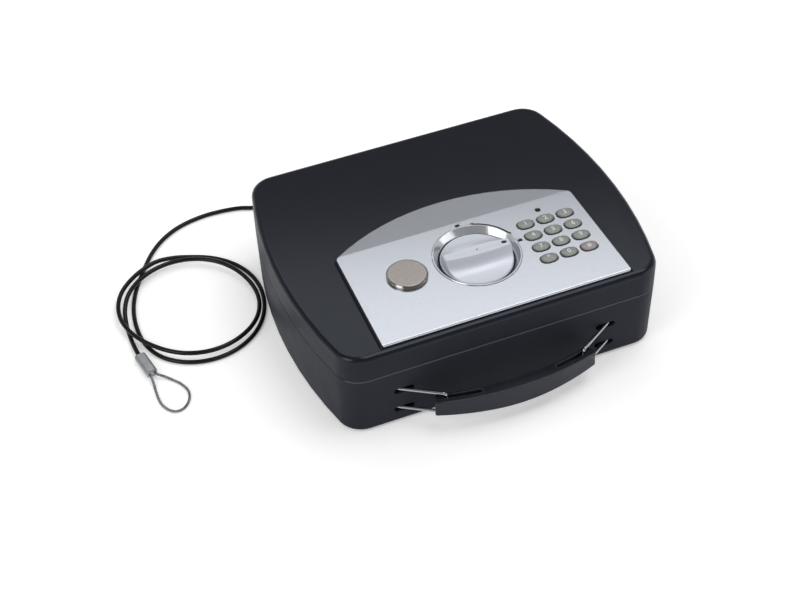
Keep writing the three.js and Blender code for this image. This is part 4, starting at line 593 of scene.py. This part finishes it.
def make_digits():
    for name in KEY_NAMES:
        low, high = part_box(name)
        label = name.removeprefix("key_")
        data = bpy.data.curves.new(f"digit_{label}", "FONT")
        data.body = SIGNS.get(name, label)
        data.size = DIGIT_SIZE * MM
        data.offset = DIGIT_BOLDER * MM
        data.align_x = "CENTER"
        data.align_y = "CENTER"
        data.extrude = DIGIT_DEPTH * MM
        data.materials.append(digit_white)
        digit = link(bpy.data.objects.new(f"digit_{label}", data))
        digit.location = ((low.x + high.x) / 2, (low.y + high.y) / 2, high.z)
        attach(digit, name)


make_digits()


# Printed marks: a dot and a pointer on the grip, two padlock signs and the turn arc on the panel

PANEL_TOP, GRIP_TOP = 76.2, 81.4
PRINT_FOOT, PRINT_TOP = 0.005, 0.04
KNOB_X, KNOB_Y, KNOB_REST = 4.5, -43.5, math.radians(-2)
# The arc goes clockwise round the knob, with its angles and the arrows' lead in degrees
ARC_RADIUS, ARC_WIDTH, ARC_START, ARC_END = 32.8, 1.2, 71, 22
ARROW_TIP_RADIUS, ARROW_OUTER_RADIUS, ARROW_LEAD = 33.6, 35.2, 4.6
PADLOCK_HALF_X, PADLOCK_HALF_Y = 1.85, 1.25
SHACKLE_RADIUS, SHACKLE_WIDTH = 0.95, 0.35
# Each padlock's place, its shackle's centre from there, and the shackle's sweep in degrees
PADLOCKS = {
    "open": ((4.0, -9.1), (1.9, 1.6), 300),
    "closed": ((39.6, -41.8), (0.1, 1.2), 180),
}


def oval(x, y, half_x, half_y, count=28):
    return [(x + half_x * math.cos(2 * math.pi * i / count), y + half_y * math.sin(2 * math.pi * i / count))
            for i in range(count)]


def bar(x, y, half_x, half_y, corner=0.4):
    outline = []
    for quarter, (a, b) in enumerate(((1, 1), (-1, 1), (-1, -1), (1, -1))):
        for k in range(5):
            angle = math.pi / 2 * (quarter + k / 4)
            outline.append((x + a * (half_x - corner) + corner * math.cos(angle),
                            y + b * (half_y - corner) + corner * math.sin(angle)))
    return outline


def arc_strip(x, y, radius, width, start, end, count=24):
    angles = [math.radians(start + (end - start) * i / count) for i in range(count + 1)]
    inner = [(x + radius * math.cos(a), y + radius * math.sin(a)) for a in angles]
    outer = [(x + (radius + width) * math.cos(a), y + (radius + width) * math.sin(a)) for a in angles]
    return inner + outer[::-1]


def arrow_head(degrees, lead):
    tip, root = math.radians(degrees + lead), math.radians(degrees)
    return [(KNOB_X + r * math.cos(a), KNOB_Y + r * math.sin(a))
            for r, a in ((ARROW_TIP_RADIUS, tip), (ARROW_OUTER_RADIUS, root), (ARC_RADIUS, root))]


def printed(name, outline, z, material, host):
    count = len(outline)
    vertices = [point(x, y, z + lift) for lift in (PRINT_FOOT, PRINT_TOP) for x, y in outline]
    sides = [(i, (i + 1) % count, count + (i + 1) % count, count + i) for i in range(count)]
    under, over = tuple(range(count))[::-1], tuple(range(count, 2 * count))
    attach(mesh_piece(name, vertices, [over, under, *sides], material), host)


def on_grip(outline):
    cos, sin = math.cos(KNOB_REST), math.sin(KNOB_REST)
    return [(KNOB_X + x * cos - y * sin, KNOB_Y + x * sin + y * cos) for x, y in outline]


def make_marks():
    printed("pointer_mark", on_grip(oval(21.1, 0.35, 2.1, 1.45)), GRIP_TOP, print_black, "knob")
    printed("centre_mark", on_grip(oval(0, 0.1, 0.6, 0.6)), GRIP_TOP, print_black, "knob")
    for name, ((x, y), (right, up), sweep) in PADLOCKS.items():
        lock = bar(x, y, PADLOCK_HALF_X, PADLOCK_HALF_Y)
        shackle = arc_strip(x + right, y + up, SHACKLE_RADIUS, SHACKLE_WIDTH, 0, sweep)
        printed(f"padlock_{name}", lock, PANEL_TOP, print_black, "lid")
        printed(f"shackle_{name}", shackle, PANEL_TOP, print_grey, "lid")
    turn_arc = arc_strip(KNOB_X, KNOB_Y, ARC_RADIUS, ARC_WIDTH, ARC_END, ARC_START, 48)
    printed("turn_arc", turn_arc, PANEL_TOP, print_black, "lid")
    printed("arrow_start", arrow_head(ARC_START, ARROW_LEAD), PANEL_TOP, print_black, "lid")
    printed("arrow_end", arrow_head(ARC_END, -ARROW_LEAD), PANEL_TOP, print_black, "lid")


make_marks()


# Foam liner on the compartment's floor

FOAM_LONG_EDGE, FOAM_CUTS = 30, 6
FOAM_DENT, FOAM_LUMPS_PER_METRE = 0.3, 60
FOAM_TOP_BAND = 0.01


def make_foam():
    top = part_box("floor_pad")[1].z
    liner = link(bpy.data.objects.new("foam_liner", nodes["floor_pad"].data.copy()))
    liner.data.materials.clear()
    liner.data.materials.append(foam)
    work = bmesh.new()
    work.from_mesh(liner.data)
    bmesh.ops.remove_doubles(work, verts=work.verts, dist=WELD_GAP)
    long_edges = [e for e in work.edges if e.calc_length() > FOAM_LONG_EDGE * MM]
    bmesh.ops.subdivide_edges(work, edges=long_edges, cuts=FOAM_CUTS, use_grid_fill=True)
    bmesh.ops.triangulate(work, faces=work.faces)
    for v in work.verts:
        if v.co.z > top - FOAM_TOP_BAND * MM:
            v.co.z -= FOAM_DENT * MM * (0.5 + 0.5 * noise.noise(v.co * FOAM_LUMPS_PER_METRE))
    work.to_mesh(liner.data)
    work.free()
    for face in liner.data.polygons:
        face.use_smooth = True
    liner.data.set_sharp_from_angle(angle=math.radians(40))
    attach(liner, "base")
    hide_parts("floor_pad")


make_foam()


# Floor, world and lamps

FLOOR_HALF, FLOOR_DROP = 4000, 0.02
FLOOR_GREY, FLOOR_GLOW = 0.93, 0.3
ROOM_LIGHT = 0.45
# Grey of the room that shows in glossy surfaces, by height: 0 is level with the part, 1 overhead
ROOM_GREYS = ((0, 0.85), (0.22, 0.44), (0.5, 0.36), (0.7, 0.12), (1, 0.3))


def make_floor():
    n = Surface("floor_paper")
    n.shade("Base Color", (FLOOR_GREY, FLOOR_GREY, FLOOR_GREY, 1))
    n.shade("Roughness", 0.9)
    n.shade("Specular IOR Level", 0.1)
    n.shade("Emission Color", WHITE)
    path = n.add("ShaderNodeLightPath").outputs
    seen = n.join("MAXIMUM", path["Is Camera Ray"], path["Is Glossy Ray"])
    seen = n.join("MAXIMUM", seen, path["Is Transmission Ray"])
    n.shade("Emission Strength", n.ramp(seen, 0, 1, 0, FLOOR_GLOW))
    corners = [point(x * FLOOR_HALF, y * FLOOR_HALF, FLOOR - FLOOR_DROP)
               for x, y in ((-1, -1), (1, -1), (1, 1), (-1, 1))]
    mesh_piece("floor", corners, [(0, 1, 2, 3)], n.material)


def make_world():
    world = bpy.data.worlds.new("studio")
    scene.world = world
    world.use_nodes = True
    world.node_tree.nodes.clear()
    n = Tree(world.node_tree)
    path = n.add("ShaderNodeLightPath").outputs

    def background(colour, strength):
        node = n.add("ShaderNodeBackground")
        n.put(node.inputs["Color"], colour)
        n.put(node.inputs["Strength"], strength)
        return node.outputs[0]

    def blend(factor, first, second):
        node = n.add("ShaderNodeMixShader")
        for target, value in zip(node.inputs, (factor, first, second)):
            n.put(target, value)
        return node.outputs[0]

    split = n.add("ShaderNodeSeparateXYZ")
    n.put(split.inputs[0], n.add("ShaderNodeTexCoord").outputs["Generated"])
    room = n.add("ShaderNodeValToRGB")
    n.put(room.inputs["Fac"], split.outputs["Z"])
    ramp = room.color_ramp
    ramp.interpolation = "B_SPLINE"
    for position, _ in ROOM_GREYS[1:-1]:
        ramp.elements.new(position)
    for element, (_, grey) in zip(ramp.elements, ROOM_GREYS):
        element.color = (grey, grey, grey, 1)
    glossy = n.join("MAXIMUM", path["Is Glossy Ray"], path["Is Transmission Ray"])
    light = blend(glossy, background(WHITE, ROOM_LIGHT), background(room.outputs["Color"], 1))
    out = n.add("ShaderNodeOutputWorld")
    n.put(out.inputs[0], blend(path["Is Camera Ray"], light, background(WHITE, 1)))


def lamp(name, place, target, width, depth, power):
    data = bpy.data.lights.new(name, "AREA")
    data.shape = "RECTANGLE"
    data.size = width
    data.size_y = depth
    data.energy = power
    o = link(bpy.data.objects.new(name, data))
    o.location = place
    o.rotation_euler = (Vector(target) - Vector(place)).to_track_quat("-Z", "Y").to_euler()


# Places and sizes in metres, power in watts
LID_CENTRE = (0, 0, 0.07)
LAMPS = [
    ("back_box", (0.14, 0.515, 0.839), LID_CENTRE, 1.0, 0.4, 1.4),
    ("key_lamp", (0.5, -0.1, 1.6), (0, 0, 0), 1.0, 1.0, 6.8),
    ("left_box", (-1.45, -0.25, 0.62), LID_CENTRE, 1.1, 0.4, 1.7),
    ("corner_box", (-1.15, -0.5, 1.1), LID_CENTRE, 0.7, 0.7, 4.2),
    ("right_box", (1.1, -0.75, 0.42), LID_CENTRE, 0.9, 0.4, 1.1),
]

make_floor()
make_world()
for settings in LAMPS:
    lamp(*settings)

scene.view_settings.view_transform = "Standard"
